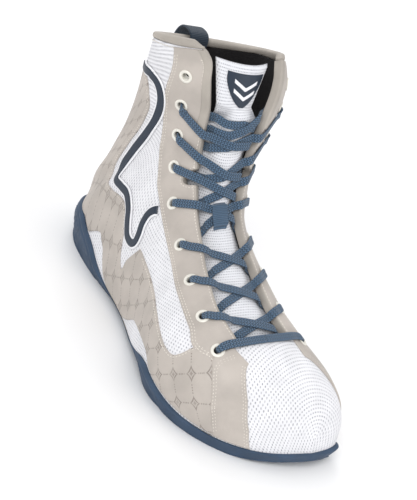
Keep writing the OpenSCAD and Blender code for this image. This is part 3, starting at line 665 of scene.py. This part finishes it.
def hole_frame(side, e):
    """Angle and station of an eyelet, and the directions across and out of its hole."""
    a, v = eyelet_angle(side, e), e[2]
    z = normal(a, v)
    x = unit(np.cross(z, [0.3, 0.2, 1.0]))
    return a, v, x, np.cross(z, x), z


def plug(side, radius):
    """One mesh of plugs through all the eyelet holes of a side."""
    verts, faces, n = [], [], 28
    for e in EYELETS:
        a, v, x, y, z = hole_frame(side, e)
        centre, start = place(a, v, 0.0), len(verts)
        for h in (-7.0, 5.0):
            for k in range(n):
                t = 2 * math.pi * (k + 0.37) / n
                verts.append(centre + z * h + radius * (x * math.cos(t) + y * math.sin(t)))
        faces += [[start + k, start + (k + 1) % n, start + n + (k + 1) % n, start + n + k] for k in range(n)]
        faces += [[start + k for k in range(n)][::-1], [start + n + k for k in range(n)]]
    return obj(f"plug_{side}", verts, faces, np.zeros((len(verts), 2)), M["board"], "board", body=None)


MESH_TOP = 0.3
plugs = {side: plug(side, 2.85) for side, _ in SIDES}
for side, word in SIDES:
    a, v = quarter_grid(side)
    more = {"nodes": [f"quarter_{word}"]}
    o = sheet_piece(f"quarter_{word}", a, v, -SHELL_T, MESH_TOP, M["mesh"], "mesh",
                    free="r" if side > 0 else "l", edge=1.2, puff=0.0, **more)
    cut(o, [plugs[side]])
    o = sheet_piece(f"quarter_lining_{word}", a, v, -SHELL_T - LINING_T, -SHELL_T - 0.02, M["lining"],
                    "lining", free="", nodes=[f"quarter_lining_{word}"])
    cut(o, [plugs[side]])

a, v = vamp_grid()
crown = relief(a, v)
for name, low, high, paint in (("vamp", -SHELL_T, MESH_TOP, "mesh"),
                               ("vamp_lining", -SHELL_T - LINING_T, -SHELL_T - 0.02, "lining")):
    slab(name, place(a, v, high + crown), place(a, v, low + crown), flat(a, v), M[paint], paint,
         zip_first=True, nodes=[name])

# ---- overlays ----------------------------------------------------------------------------------
LOW, HIGH = 0.28, 1.25     # distances of an overlay's two faces
STAY_SWELL = 4.5           # degrees


def stay_near(side):
    return lambda v: throat(side, v) + 0.2


def stay_far(side):
    """Outer edge of the eyestay; it swells round the foot of the side's mesh window."""
    def edge(v):
        swell = STAY_SWELL * smooth((4.95 - v) / 0.5) * smooth((v - 3.75) / 0.5)
        return throat(side, v) - notch(v) + flow(STAY_W, v) + swell
    return edge


WING_FAR, WING_SOFT = 150, 8


def wing_near(side):
    return at(THROAT[side], THROAT_V) + 4


def wing_edges(side):
    """Front and rear edge of the strap from the throat's foot down to the sole."""
    def edge(table, trim=0.0):
        def path(s):
            return side * lerp(wing_near(side), WING_FAR, s), soft(table, lerp(36, 155, s), WING_SOFT) + trim
        return path
    return edge(WING_FRONT), edge(WING_REAR, -0.03)


SIDE_FOOT, SIDE_HEAD = 3.4, 7.7
UNDER_STAY, UNDER_STRAP = 5.0, 0.07      # overlap with the eyestay, degrees, and the strap, stations


def side_panel(side, s, t):
    """Angles and stations of the printed side panel, s across it and t up it. It starts at the
    strap's rear edge and ends in a hump in front of the heel panel."""
    v = lerp(SIDE_FOOT, SIDE_HEAD, t)
    m = lerp(soft(SIDE_NEAR, v, 0.08) - UNDER_STAY * smooth((4.7 - v) / 0.4), soft(SIDE_FAR, v, 0.1), s)
    q = lerp(36, 155, (m - wing_near(side)) / (WING_FAR - wing_near(side)))
    rise = (soft(WING_REAR, q, WING_SOFT) - UNDER_STRAP - SIDE_FOOT) * (1 - t) ** 6
    return side * m, v + rise + (0.12 + 0.1 * smooth((104 - m) / 12)) * t ** 6


def heel_near(v):
    return soft(HEEL_NEAR, v, 0.22)


def heel_far(v):
    under_wall = np.where(v < SOLE_BACK_V, at(WALL_TOP, v) - 1.5, 166)
    return np.minimum(soft(HEEL_FAR, v, 0.1), under_wall)


FACING_W = 5.6       # degrees
for side, word in SIDES:
    near, far = stay_near(side), stay_far(side)
    a, v = panel(side, 3.9, COLLAR_V - 0.02, near, far, 150, 22, 190, 24)
    o = sheet_piece(f"eyestay_{word}", a, v, LOW, HIGH, M["leather"], "synthetic", puff=0.25,
                    nodes=[f"eyestay_{word}"])
    cut(o, [plugs[side]])

    front, rear = wing_edges(side)
    s, t = spread(70, 110)[:, None], spread(16, 18)[None, :]
    fa, fv = front(s)
    ra, rv = rear(s)
    rv = rv + 0.16 * smooth((62 - np.abs(ra)) / 14)
    sheet_piece(f"wing_{word}", fa + 0 * t, lerp(fv, rv, t), LOW + 0.12, HIGH + 0.16, M["leather"],
                "synthetic", puff=0.2, nodes=[f"wing_{word}"])

    s, t = spread(46, 60)[None, :], spread(110, 90)[:, None]
    a, v = side_panel(side, s, t)
    sheet_piece(f"side_overlay_{word}", a, v, LOW, HIGH - 0.12, M["printed"], "printed", puff=0.12,
                nodes=[f"side_overlay_{word}"])

    a, v = panel(side, 7.74, 16.75, heel_near, heel_far, 170, 40, 190, 70)
    sheet_piece(f"heel_overlay_{word}", a, v, LOW + 0.1, HIGH + 0.04, M["printed"], "printed", puff=0.12,
                nodes=[f"heel_overlay_{word}"])

    # Binding that runs on from the collar down the throat's edge
    a, v = panel(side, 12.75, COLLAR_V - 0.04, lambda q: throat(side, q) + 0.3,
                 lambda q: throat(side, q) + FACING_W * smooth((q - 12.6) / 0.3) + 0.6, 90, 12, 60, 6)
    sheet_piece(f"facing_{word}", a, v, HIGH - 0.1, HIGH + 0.55, M["binding"], "binding", edge=0.7,
                puff=0.15, reach=2.0)

s, t = spread(90, 160)[:, None], spread(12, 26)[None, :]
v = lerp(12.4, 17.74, s) + 0 * t
a = lerp(164, 196, t) + 0 * s
a = np.where(a > 180, a - 360, a)
p_out, p_in = place(a, v, HIGH + 0.25), place(a, v, LOW)
across = lerp(-16, 16, t) + 0 * s
slab("backstay", p_out, p_in, np.stack([across, flat(np.full_like(v, 170), v)[..., 1]], -1),
     M["leather"], "synthetic", nodes=["backstay"])

# ---- stripe with its white piping --------------------------------------------------------------
for side, word in SIDES:
    route, _ = resample(np.array([[m * 1.0, q * 10, 0.0] for m, q in STRIPE]), 1.0)
    a0, v0 = side * route[:, 0], route[:, 1] / 10
    for name, half, low, high, paint, nodes in (
            ("stripe", 2.95, 1.1, 2.05, "film", [f"stripe_{word}"]),
            ("stripe_piping", 4.2, 0.9, 1.5, "piping", [])):
        cols = [beside(a0, v0, h) for h in half * (2 * spread(8, 2 * half, 0.6) - 1)]
        a, v = np.stack([c[0] for c in cols], 1), np.stack([c[1] for c in cols], 1)
        sheet_piece(f"{name}_{word}", a, v, low, high, M[paint], "film", edge=0.6, puff=0.1,
                    reach=1.0, nodes=nodes)

# ---- collar ------------------------------------------------------------------------------------
n_round, n_along = 28, 260
near = {side: at(THROAT[side], COLLAR_V) for side, _ in SIDES}
turn = np.linspace(0, 1, n_along)
along_a = lerp(near[MEDIAL], 360 - near[LATERAL], turn)
rim = np.minimum(along_a - near[MEDIAL], 360 - near[LATERAL] - along_a)
end = rolled(rim / 7, 0.03)
a = np.where(along_a > 180, along_a - 360, along_a)[:, None]
phi = around(n_round)[None, :]
cx, cy = superellipse(phi, 0.72, 0.72)
pucker = 0.10 * np.sin(along_a * 1.9)[:, None] + 0.07 * np.sin(along_a * 0.83 + 1)[:, None]
m = np.abs(a)
side_rim = np.where(a < 0, rim_v(LATERAL, m), rim_v(MEDIAL, m))
low_v = collar_v(m)
v = (low_v + side_rim) / 2 + (side_rim - low_v) / 2 * cy
d = -1.55 + (2.7 * (0.45 + 0.55 * end)[:, None] + pucker) * cx
p = place(a, np.minimum(v, LAST), d + relief(a, v))
over = np.maximum(v - LAST, 0)
p[..., 2] += over * 20
collar_uv = np.stack([np.broadcast_to(along_a[:, None] * 0.8, p.shape[:2]),
                      np.broadcast_to(phi * 4, p.shape[:2])], -1)


def tube(name, rings, uv, material, slot, **more):
    """Closed solid swept through rings of points, capped at both ends."""
    n, m = rings.shape[:2]
    faces = [[i * m + j, (i + 1) * m + j, (i + 1) * m + (j + 1) % m, i * m + (j + 1) % m]
             for i in range(n - 1) for j in range(m)]
    faces += [list(range(m))[::-1], [(n - 1) * m + j for j in range(m)]]
    return obj(name, rings.reshape(-1, 3), faces, uv.reshape(-1, 2), material, slot, **more)


# Binding folded over the throat's cut edge, from the eyestay's face to the lining
phi = around(16)[None, :]
fold_x, fold_d = superellipse(phi, 0.6, 0.6)
for side, word in SIDES:
    v = np.linspace(3.98, COLLAR_V + 0.02, 300)[:, None]
    a = side * (throat(side, v) + 0.55 + 0.8 * fold_x)
    rings = place(a, v + 0 * a, -1.45 + 2.95 * fold_d + relief(a, v))
    uv = np.stack([flat(a, v)[..., 1], np.broadcast_to(phi * 1.5, a.shape)], -1)
    tube(f"throat_binding_{word}", rings, uv, M["binding"], "binding")

collar = tube("collar_binding", p, collar_uv, M["binding"], "binding", nodes=["collar_binding"])

# ---- tongue ------------------------------------------------------------------------------------
FACE_T, BACKING_T = 2.4, 0.9
FLAP_FOOT, FLAP_TOP, FLAP_W = 168, 196, 44
NECK_IN = 5.2        # how far the lateral edge is drawn in between the lace and the flap


def gap_middle(v):
    return (at(THROAT[MEDIAL], v) - at(THROAT[LATERAL], v)) / 2


def gap_half(v):
    return (at(THROAT[MEDIAL], v) + at(THROAT[LATERAL], v)) / 2


def flap(s, h, back):
    return np.stack([lerp(3.5, 4, h) + s * lerp(14.5, FLAP_W / 2, h),
                     lerp(27, 35, h) + lerp(5, 7, h) * s * s + back, lerp(FLAP_FOOT, FLAP_TOP, h)], -1)


def tongue_column(s, back):
    """Points up the tongue at a place across it: the part behind the lace, a neck, then the flap."""
    v = np.linspace(3.6, 13, 40)
    q = s * (gap_half(v) + 13) / (gap_half(v) - 2)
    crown = np.maximum(0, 1 - q * q)
    depth = -6.8 + 3.1 * crown * smooth((v - THROAT_V) / 0.8) - back
    low = place(gap_middle(v) + s * (gap_half(v) + 13), v, depth)
    high = flap(s, np.linspace(0, 1, 14), back)
    w = np.linspace(0, 1, 9)[1:-1, None]
    neck = lerp(low[-1], high[0], w)
    neck[:, 0] += NECK_IN * smooth(-1.25 * s) * np.sin(math.pi * w[:, 0])
    return np.vstack([low, neck, high])


def tongue_sheet(name, fore, aft, material, slot, nodes, rows=170, cols=44, puff=0.0):
    s = np.r_[-1, -0.985, -0.95, np.linspace(-0.9, 0.9, cols - 6), 0.95, 0.985, 1]
    grids = []
    for back in (fore, aft):
        g = []
        for q in s:
            column, _ = resample(tongue_column(q, back), 0.9)
            length = np.linspace(0, 1, rows)
            k = np.linspace(0, 1, len(column))
            g.append(np.stack([np.interp(length, k, column[:, c]) for c in range(3)], -1))
        grids.append(np.stack(g, 1))
    front, rear = grids
    outward = unit(front - rear)
    far = border_distance(front, "tlr")
    roll = rolled(far / 2.0, 0.05)
    thick = np.linalg.norm(front - rear, axis=-1)[..., None] * roll[..., None]
    swell = puff * (1 - np.exp(-far / 7))[..., None]
    front = rear + outward * (thick + swell)
    u = np.broadcast_to(s[None, :] * 26, front.shape[:2])
    w = np.broadcast_to(np.linspace(0, 190, rows)[:, None], front.shape[:2])
    o = slab(name, front, rear, np.stack([u, w], -1), material, slot, body=None, nodes=nodes)
    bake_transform(o)
    return o


tongue = tongue_sheet("tongue", 0.0, FACE_T - 0.02, M["tongue"], "mesh", ["tongue_lower", "tongue_top"],
                      puff=0.35)
tongue_sheet("tongue_lining", FACE_T, FACE_T + BACKING_T, M["lining"], "lining",
             ["tongue_lining_lower", "tongue_lining_top"])


# Plain shield badge with two pale chevrons
BADGE = [[0.04, 0.1], [0.12, 0.32], [0.26, 0.54], [0.4, 0.66], [0.6, 0.75], [0.82, 0.74]]


def badge_piece(name, s, h, back, paint, nodes=()):
    front, rear = flap(0.05 + s, h, back), flap(0.05 + s, h, back + 0.9)
    far = border_distance(front, "btlr")
    roll = rolled(far / 0.5, 0.05)[..., None]
    slab(name, lerp(rear, front, roll), rear, front[..., [0, 2]], M[paint], "film", body=FLAP, nodes=nodes)


h = lerp(0.04, 0.82, spread(30, 22, 0.5))[:, None]
across = 2 * spread(22, 30, 0.5)[None, :] - 1
badge_piece("tongue_emblem", across * flow(BADGE, h), h + 0 * across, -1.25, "film", ["tongue_emblem"])
for n, base in enumerate((0.2, 0.42)):
    t = spread(5, 2.4, 0.4)[:, None]
    s = 0.5 * across + 0 * t
    badge_piece(f"tongue_emblem_chevron_{n}", s, base + 0.34 * np.abs(s) + 0.1 * t, -1.55, "piping")

# ---- lace --------------------------------------------------------------------------------------
LACE_W, LACE_T, UNDER = 6.0, 1.2, -5.2


# Distance from the hole, height, share of the width, thickness
LEAD = [[8, 2.5, 1, 1.2], [5.4, 3.0, 1, 1.2], [3.6, 3.3, 0.94, 1.2], [1.7, 3.0, 0.8, 1.25],
        [0.5, 1.9, 0.68, 1.4], [0, 0.4, 0.6, 1.6], [0, -1.5, 0.5, 1.6], [0, -4.3, 0.4, 1.4]]


def through_hole(side, e, slope):
    """To the hole along a line that falls by slope stations a degree, and down through it."""
    a, v = eyelet_angle(side, e), e[2]
    k = 1 / np.linalg.norm(skin(a - side, v - slope) - skin(a, v))
    return [[a - side * x * k, v - slope * x * k, d, LACE_W * w, t] for x, d, w, t in LEAD] \
        + [[a - side * 1.6, v, -5.6, LACE_W * 0.5, 1.3], [a - side * 4.5, v, UNDER, LACE_W * 0.8, LACE_T]]


def crossing(side, e0, e1, droop, lift):
    """From behind the eyestay on one side, over the tongue and over the other eyestay's edge."""
    a0, a1 = eyelet_angle(side, e0), eyelet_angle(-side, e1)
    v0, v1 = (lerp(e0[2], e1[2], q) - 0.64 * droop for q in (0.2, 0.8))
    in0, in1 = side * at(THROAT[side], v0), -side * at(THROAT[-side], v1)
    low = -2.6 + lift
    route = [[a0 - side * 8, UNDER], [in0 + side, UNDER], [in0 - side * 3.5, -4.4],
             [in0 - side * 7, low - 0.2], [lerp(in0, in1, 0.4), low], [lerp(in0, in1, 0.5), low],
             [lerp(in0, in1, 0.6), low], [in1 + side * 7, lerp(low, -1, 0.3)], [in1 + side * 4, 1],
             [in1 - side, 2.7]]
    out = []
    for a, d in route:
        s = (a - a0) / (a1 - a0)
        out.append([a, lerp(e0[2], e1[2], s) - droop * 4 * s * (1 - s), d, LACE_W, LACE_T])
    return out


def tail(side):
    """Loose end: out from behind the eyestay, across the tongue and behind the other one."""
    middle, lift = (12.65, 0.0) if side < 0 else (12.05, 1.5)
    near, far = side * at(THROAT[side], 13), -side * at(THROAT[-side], 13)
    route = [[near + side * 12, 14.1, UNDER], [near + side * 3, 13.6, UNDER],
             [near - side * 3.5, 13.4, -4.4], [near - side * 7, 13.3, -2.8 + lift],
             [lerp(near, far, 0.3), lerp(13.3, middle, 0.7), -2.6 + lift],
             [lerp(near, far, 0.5), middle, -2.6 + lift * 0.5], [lerp(near, far, 0.65), middle, -2.6],
             [far + side * 7, 12.5, -2.8], [far + side * 3.5, 12.65, -4.4],
             [far - side * 3, 12.8, UNDER], [far - side * 9, 13.1, UNDER - 0.4]]
    return [[*r, LACE_W, LACE_T] for r in route]


def half_lace(side):
    bar = EYELETS[-1]
    edge = side * at(THROAT[side], bar[2])
    route = [[gap_middle(4), 3.9, 1.6, LACE_W, LACE_T], [edge - side * 5, 3.93, 2, LACE_W, LACE_T],
             [edge + side * 3, 3.97, 2.6, LACE_W, LACE_T]]
    route += through_hole(side, bar, 0)
    k = len(EYELETS) - 1
    while k > 1:
        e0, e1, droop = EYELETS[k], EYELETS[k - 1], DROOP[k - 2]
        width = abs(eyelet_angle(-side, e1) - eyelet_angle(side, e0))
        route += crossing(side, e0, e1, droop, 1.5 if side > 0 else 0.0)
        route += through_hole(-side, e1, (e1[2] - e0[2] + 4 * droop) / width)
        side, k = -side, k - 1
    return np.array(route + tail(side), float)


def lace(name, side, nodes):
    route = half_lace(side)
    p = place(route[:, 0], route[:, 1], route[:, 2])
    a, v = route[:, 0], route[:, 1]
    lift = place(a, np.minimum(LAST, v + 0.3), 0) - place(a, v - 0.3, 0)
    data = np.hstack([p, unit(lift), route[:, 3:5]])
    data, length = resample(data, 1.1)
    p, up, w, t = data[:, :3], data[:, 3:6], data[:, 6:7], data[:, 7:8]
    e = unit(np.gradient(p, axis=0))
    wide = unit(up - (up * e).sum(-1, keepdims=True) * e)
    thin = np.cross(e, wide)
    n = 18
    phi = around(n)
    x, y = superellipse(phi, 0.55, 0.8)
    y = y * (1 - 0.16 * np.exp(-(np.cos(phi) / 0.16) ** 2))
    rings = p[:, None] + wide[:, None] * (x[None, :] * w / 2)[..., None] \
        + thin[:, None] * (y[None, :] * t / 2)[..., None]
    uv = np.stack([np.broadcast_to(length[:, None], rings.shape[:2]),
                   np.broadcast_to(x[None, :] * 3, rings.shape[:2])], -1)
    return tube(name, rings, uv, M["lace"], "lace", nodes=nodes)


lace("laces", LATERAL, ["laces"])
lace("laces_medial", MEDIAL, [])

# ---- eyelets -----------------------------------------------------------------------------------
EYELET_PROFILE = [[2.5, -4.2], [2.75, -4.2], [2.95, 0.6], [4.3, 1.2], [4.62, 1.35], [4.7, 1.6],
                  [4.55, 1.85], [4.1, 2.08], [3.5, 2.18], [3.0, 2.12], [2.62, 1.85], [2.5, 1.3]]


def eyelets(side, word):
    verts, faces, uv, n = [], [], [], 40
    prof = np.array(EYELET_PROFILE)
    m = len(prof)
    for e in EYELETS:
        a, v, x, y, z = hole_frame(side, e)
        centre, start = place(a, v, relief(a, v)), len(verts)
        for k in range(n):
            t = 2 * math.pi * k / n
            for r, h in prof:
                verts.append(centre + z * h + r * (x * math.cos(t) + y * math.sin(t)))
                uv.append([r, h])
        faces += [[start + k * m + j, start + ((k + 1) % n) * m + j,
                   start + ((k + 1) % n) * m + (j + 1) % m, start + k * m + (j + 1) % m]
                  for k in range(n) for j in range(m)]
    obj(f"eyelets_{word}", verts, faces, uv, M["eyelet"], "eyelet", nodes=[f"eyelets_{word}"])


for side, word in SIDES:
    eyelets(side, word)

# ---- lace keeper -------------------------------------------------------------------------------
s, t = spread(30, 14, 0.4)[:, None], spread(18, 10, 0.4)[None, :]
a, v = lerp(-18, -4, t) + 0 * s, lerp(7.42, 8.42, s) + 0 * t
arch = lerp(-3.2, 0.8, smooth((0.5 - np.abs(v - 7.92)) / 0.14))
p0, p1 = place(a, v, arch), place(a, v, arch + 1.0)
slab("lace_keeper", p1, p0, np.stack([(a + 18) * 0.9, (v - 7.42) * 14], -1), M["keeper"], "keeper",
     nodes=["lace_keeper"])

# ---- pull tab ----------------------------------------------------------------------------------
TAB_W = 16
tab_route = np.array([[112.6, 150], [113.4, 155], [117.6, 162], [118.4, 172], [116.8, 181],
                      [112.5, 186.4], [106.5, 187.6], [101, 186.6], [98.2, 183], [98.2, 176]], float)
tab_route = np.hstack([np.zeros((len(tab_route), 1)), tab_route])
mid, length = resample(tab_route, 0.8)
e = unit(np.gradient(mid, axis=0))
out = np.stack([0 * e[:, 0], -e[:, 2], e[:, 1]], -1)
xs = (2 * spread(20, TAB_W, 0.6) - 1) * TAB_W / 2
edge = rolled((TAB_W / 2 - np.abs(xs)) / 0.6, 0.1)
centre_x = float(section(COLLAR_V)[4])
grids = [np.stack([np.broadcast_to(centre_x + xs, (len(mid), len(xs))),
                   mid[:, 1:2] + out[:, 1:2] * side_ * 0.8 * edge[None, :],
                   mid[:, 2:3] + out[:, 2:3] * side_ * 0.8 * edge[None, :]], -1) for side_ in (1, -1)]
uv = np.stack(np.meshgrid(length, xs, indexing="ij"), -1)
slab("pull_tab", grids[0], grids[1], uv, M["webbing"], "webbing", nodes=["pull_tab"])

# ---- sole --------------------------------------------------------------------------------------
WALL_T, GAP = 3.2, 0.45
TOE_CLIMB = 14       # degrees
WALL_COLS, FLOOR_COLS, SOLE_ROWS = 34, 34, 260


def wall_top(v, side):
    """Upper edge of the wall; it climbs beside the big toe."""
    climb = TOE_CLIMB * smooth(v / 1.3) * smooth((3.2 - v) / 1.9) * (side == MEDIAL)
    return np.minimum(flow(WALL_TOP, v) - climb, at(FEATHER, v) - 3)


v = np.linspace(0, SOLE_BACK_V, SOLE_ROWS)[:, None]
k = spread(WALL_COLS, 24, 0.8)[None, :]
walls = {}
for side, _ in SIDES:
    a = side * lerp(wall_top(v, side), at(FEATHER, v), k)
    walls[side] = (a, v + 0 * a, k + 0 * a)


def sole_side(side, outer):
    a, v, s = walls[side]
    if not outer:
        return place(a, v, GAP)
    height = s * np.linalg.norm(skin(a[:, -1:], v[:, :1]) - skin(a[:, :1], v[:, :1]), axis=-1)
    lip = rolled(height / 1.6, 0.02)
    groove = 0.55 * np.exp(-((height - 3.4) / 0.7) ** 2)
    chevron = np.abs(((height / 7.0) % 1) - 0.5) * 7
    uvm = flat(a, v)[..., 1]
    heel = smooth((v - 8.5) / 0.8) * smooth((height - 5) / 2) * smooth((1 - s) / 0.12)
    cut_ = 0.5 * heel * (0.5 - 0.5 * np.cos(2 * math.pi * (uvm + 1.4 * chevron) / 4.2))
    share, low = at(WALL_SHARE, v), smooth((s - 0.35) / 0.5)
    p = place(a, v, GAP + (WALL_T * share - GAP) * lip - groove * share - cut_)
    away = normal(a, v) * [1, 1, 0]
    p -= unit(away) * (soft(TREAD_INSET, v, 0.4) * low)[..., None]
    drop = soft(SOLE_DROP, v, 0.5) + 1.2 * smooth((1 - v) / 1)
    p[..., 2] = np.maximum(0, p[..., 2] - drop * low)
    return p


def joined(outer):
    left, right = sole_side(LATERAL, outer), sole_side(MEDIAL, outer)[:, ::-1]
    t = np.linspace(0, 1, FLOOR_COLS + 2)[1:-1][None, :, None]
    floor_ = lerp(left[:, -1:], right[:, :1], t)
    if outer:
        x, y = floor_[..., 0], floor_[..., 1]
        tread = 0.5 + 0.5 * np.cos(2 * math.pi * (y + 0.75 * np.abs((x / 16) % 2 - 1) * 16) / 8.5)
        edge_fade = smooth((0.5 - np.abs(t[..., 0] - 0.5)) / 0.1) * smooth((v - 0.6) / 0.4) \
            * smooth((11 - v) / 0.6)
        floor_[..., 2] += 1.0 * edge_fade * smooth((tread - 0.55) / 0.3)
    return np.concatenate([left, floor_, right], 1)


sole_out, sole_in = joined(True), joined(False)
uv = np.stack([np.broadcast_to(np.arange(sole_out.shape[1])[None, :] * 1.2, sole_out.shape[:2]),
               np.broadcast_to(v * 25, sole_out.shape[:2])], -1)
slab("outsole", sole_out, sole_in, uv, M["rubber"], "rubber", zip_first=True, nodes=["outsole"])

# Footbed: a crowned foam sheet inside
v = lerp(2.2, 10.5, spread(90, 230, 2.0))[:, None]
depth = -SHELL_T - LINING_T
left = place(-at(FEATHER, v), v, depth)
right = place(at(FEATHER, v), v, depth)
z0 = place(at(FEATHER, v), v, 0.0)[..., 2]
t = spread(30, 60, 2.0)[None, :, None]
bed = lerp(left, right, t)
bed[..., 0] = lerp(left[..., 0] + 0.8, right[..., 0] - 0.8, t[..., 0])
bed[..., 2] = z0 + SHELL_T + 0.5
over = border_distance(bed, "btlr")
top_z = bed[..., 2] + 3.2 * rolled(over / 2.5, 0.05)
bed_top = np.stack([bed[..., 0], bed[..., 1], top_z], -1)
footbed = slab("footbed", bed_top, bed, bed[..., :2], M["foam"], "foam", nodes=["footbed"])

# ---- stitching ---------------------------------------------------------------------------------
THREAD_R = 0.32


def stitches(name, rows, body=BOOT, slot="synthetic", paint="thread"):
    """Short thread stitches along rows of (angles, stations, distance, pitch, zigzag angle)."""
    verts, faces, m, ring = [], [], 5, 6
    along = np.array([-0.5, -0.3, 0, 0.3, 0.5])
    fat = np.array([0.25, 0.85, 1, 0.85, 0.25])
    for a, v, d, pitch, zig in rows:
        p = place(a, v, d + relief(a, v))
        length = np.r_[0, np.cumsum(np.linalg.norm(np.diff(p, axis=0), axis=1))]
        u = np.arange(pitch, length[-1] - pitch, pitch)
        c = np.stack([np.interp(u, length, p[:, i]) for i in range(3)], -1)
        aa, vv = np.interp(u, length, a), np.interp(u, length, v)
        z = normal(aa, vv)
        tangent = np.stack([np.interp(u, length, g) for g in np.gradient(p, axis=0).T], -1)
        x = unit(tangent - (tangent * z).sum(-1, keepdims=True) * z)
        y = np.cross(z, x)
        turn = np.radians(zig) * np.where(np.arange(len(u)) % 2, 1, -1)[:, None]
        x, y = x * np.cos(turn) + y * np.sin(turn), y * np.cos(turn) - x * np.sin(turn)
        span = pitch * (0.76 if not zig else 1.25)
        phi = around(ring)
        for i in range(len(u)):
            base = len(verts)
            for q, f in zip(along, fat):
                o = c[i] + x[i] * span * q + z[i] * (-0.22 * abs(q) * 2)
                verts += [o + f * THREAD_R * (y[i] * math.cos(t) + z[i] * math.sin(t) * 0.8) for t in phi]
            faces += [[base + r * ring + j, base + (r + 1) * ring + j,
                       base + (r + 1) * ring + (j + 1) % ring, base + r * ring + (j + 1) % ring]
                      for r in range(m - 1) for j in range(ring)]
            faces += [[base + j for j in range(ring)][::-1],
                      [base + (m - 1) * ring + j for j in range(ring)]]
    return obj(name, verts, faces, np.zeros((len(verts), 2)), M[paint], slot, body=body)


def seam(rows, a, v, inset, d, pitch=2.4, zig=0):
    """Adds a row of stitches inset millimetres to the left of a path."""
    rows.append((*beside(a, v, np.full_like(v, inset)), d, pitch, zig))


for side, word in SIDES:
    rows = []
    v = np.linspace(3.95, 17.4, 500)
    for inset in (1.5, 3.2):
        seam(rows, side * stay_far(side)(v), v, side * inset, HIGH + 0.1)
    v = np.linspace(3.95, 12.9, 400)
    seam(rows, side * throat(side, v), v, -side * 1.8, HIGH + 0.1)
    v = np.linspace(12.9, 17.35, 150)
    seam(rows, side * throat(side, v), v, -side * 5.0, HIGH + 0.2, 1.5, 52)
    s = np.linspace(0.02, 0.98, 300)
    for path, sign in zip(wing_edges(side), (1, -1)):
        for inset in (1.4, 3.0):
            seam(rows, *path(s), sign * side * inset, HIGH + 0.15, 2.2)
    a0, v0 = side_panel(side, np.zeros(220), np.linspace(0.03, 0.97, 220))
    seam(rows, a0, v0, -side * 1.5, HIGH)
    v = np.linspace(8.3, 16.7, 400)
    seam(rows, side * heel_near(v), v, -side * 1.5, HIGH)
    v = np.linspace(12.6, 17.4, 200)
    for inset in (1.2, 2.9):
        seam(rows, np.full_like(v, side * 166.0), v, -side * inset, HIGH + 0.3)
    a = side * np.linspace(near[side] + 3, 164, 500)
    seam(rows, a, collar_v(np.abs(a)), -side * 1.8, MESH_TOP + 0.25, 2.3)
    stitches(f"stitching_{word}", rows)

for node, paint in (("insole_board", "board"), ("aglets", "aglet")):
    for place_ in frame["nodes"][node].material_slots:
        place_.material = M[paint]

# ---- camera, floor and light -------------------------------------------------------------------
CAMERA = np.array([-531.1, -587.4, 469.1]) * MM
RIGHT, DOWN, AHEAD = (np.array(r) for r in ((0.7977, -0.4862, 0.3569), (0.0186, -0.5717, -0.8202),
                                            (0.6028, 0.6609, -0.4470)))
for o in plugs.values():
    bpy.data.objects.remove(o)
cam = bpy.data.objects.new("camera", bpy.data.cameras.new("camera"))
bpy.context.scene.collection.objects.link(cam)
cam.data.sensor_width, cam.data.lens = 36, 92.7
turn = Matrix([[RIGHT[i], -DOWN[i], -AHEAD[i]] for i in range(3)]).to_4x4()
cam.matrix_world = Matrix.Translation(CAMERA.tolist()) @ turn
bpy.context.scene.camera = cam

paper = bpy.data.materials.new("paper")
paper.use_nodes = True
paper.node_tree.nodes["Principled BSDF"].inputs["Base Color"].default_value = (0.93, 0.93, 0.93, 1)
paper.node_tree.nodes["Principled BSDF"].inputs["Roughness"].default_value = 0.9
bpy.ops.mesh.primitive_plane_add(size=12)
ground = bpy.context.object
ground.name = "floor"
ground.data.materials.append(paper)


def area_light(name, where, aim, size, power):
    light = bpy.data.lights.new(name, "AREA")
    light.size, light.energy = size, power
    o = bpy.data.objects.new(name, light)
    o.location = where
    o.rotation_euler = (Vector(aim) - Vector(where)).to_track_quat("-Z", "Y").to_euler()
    bpy.context.scene.collection.objects.link(o)


area_light("key", (-1.3, -0.9, 1.5), (0, 0, 0.1), 1.2, 18)
area_light("fill", (0.9, -1.5, 0.9), (0, 0, 0.1), 1.5, 8)
area_light("back", (0.4, 1.4, 1.3), (0, 0, 0.12), 1.2, 10)
world = bpy.data.worlds.new("studio")
bpy.context.scene.world = world
world.use_nodes = True
world.node_tree.nodes["Background"].inputs[0].default_value = (0.985, 0.985, 1, 1)
world.node_tree.nodes["Background"].inputs[1].default_value = 0.75
bpy.context.scene.view_settings.view_transform = "Standard"
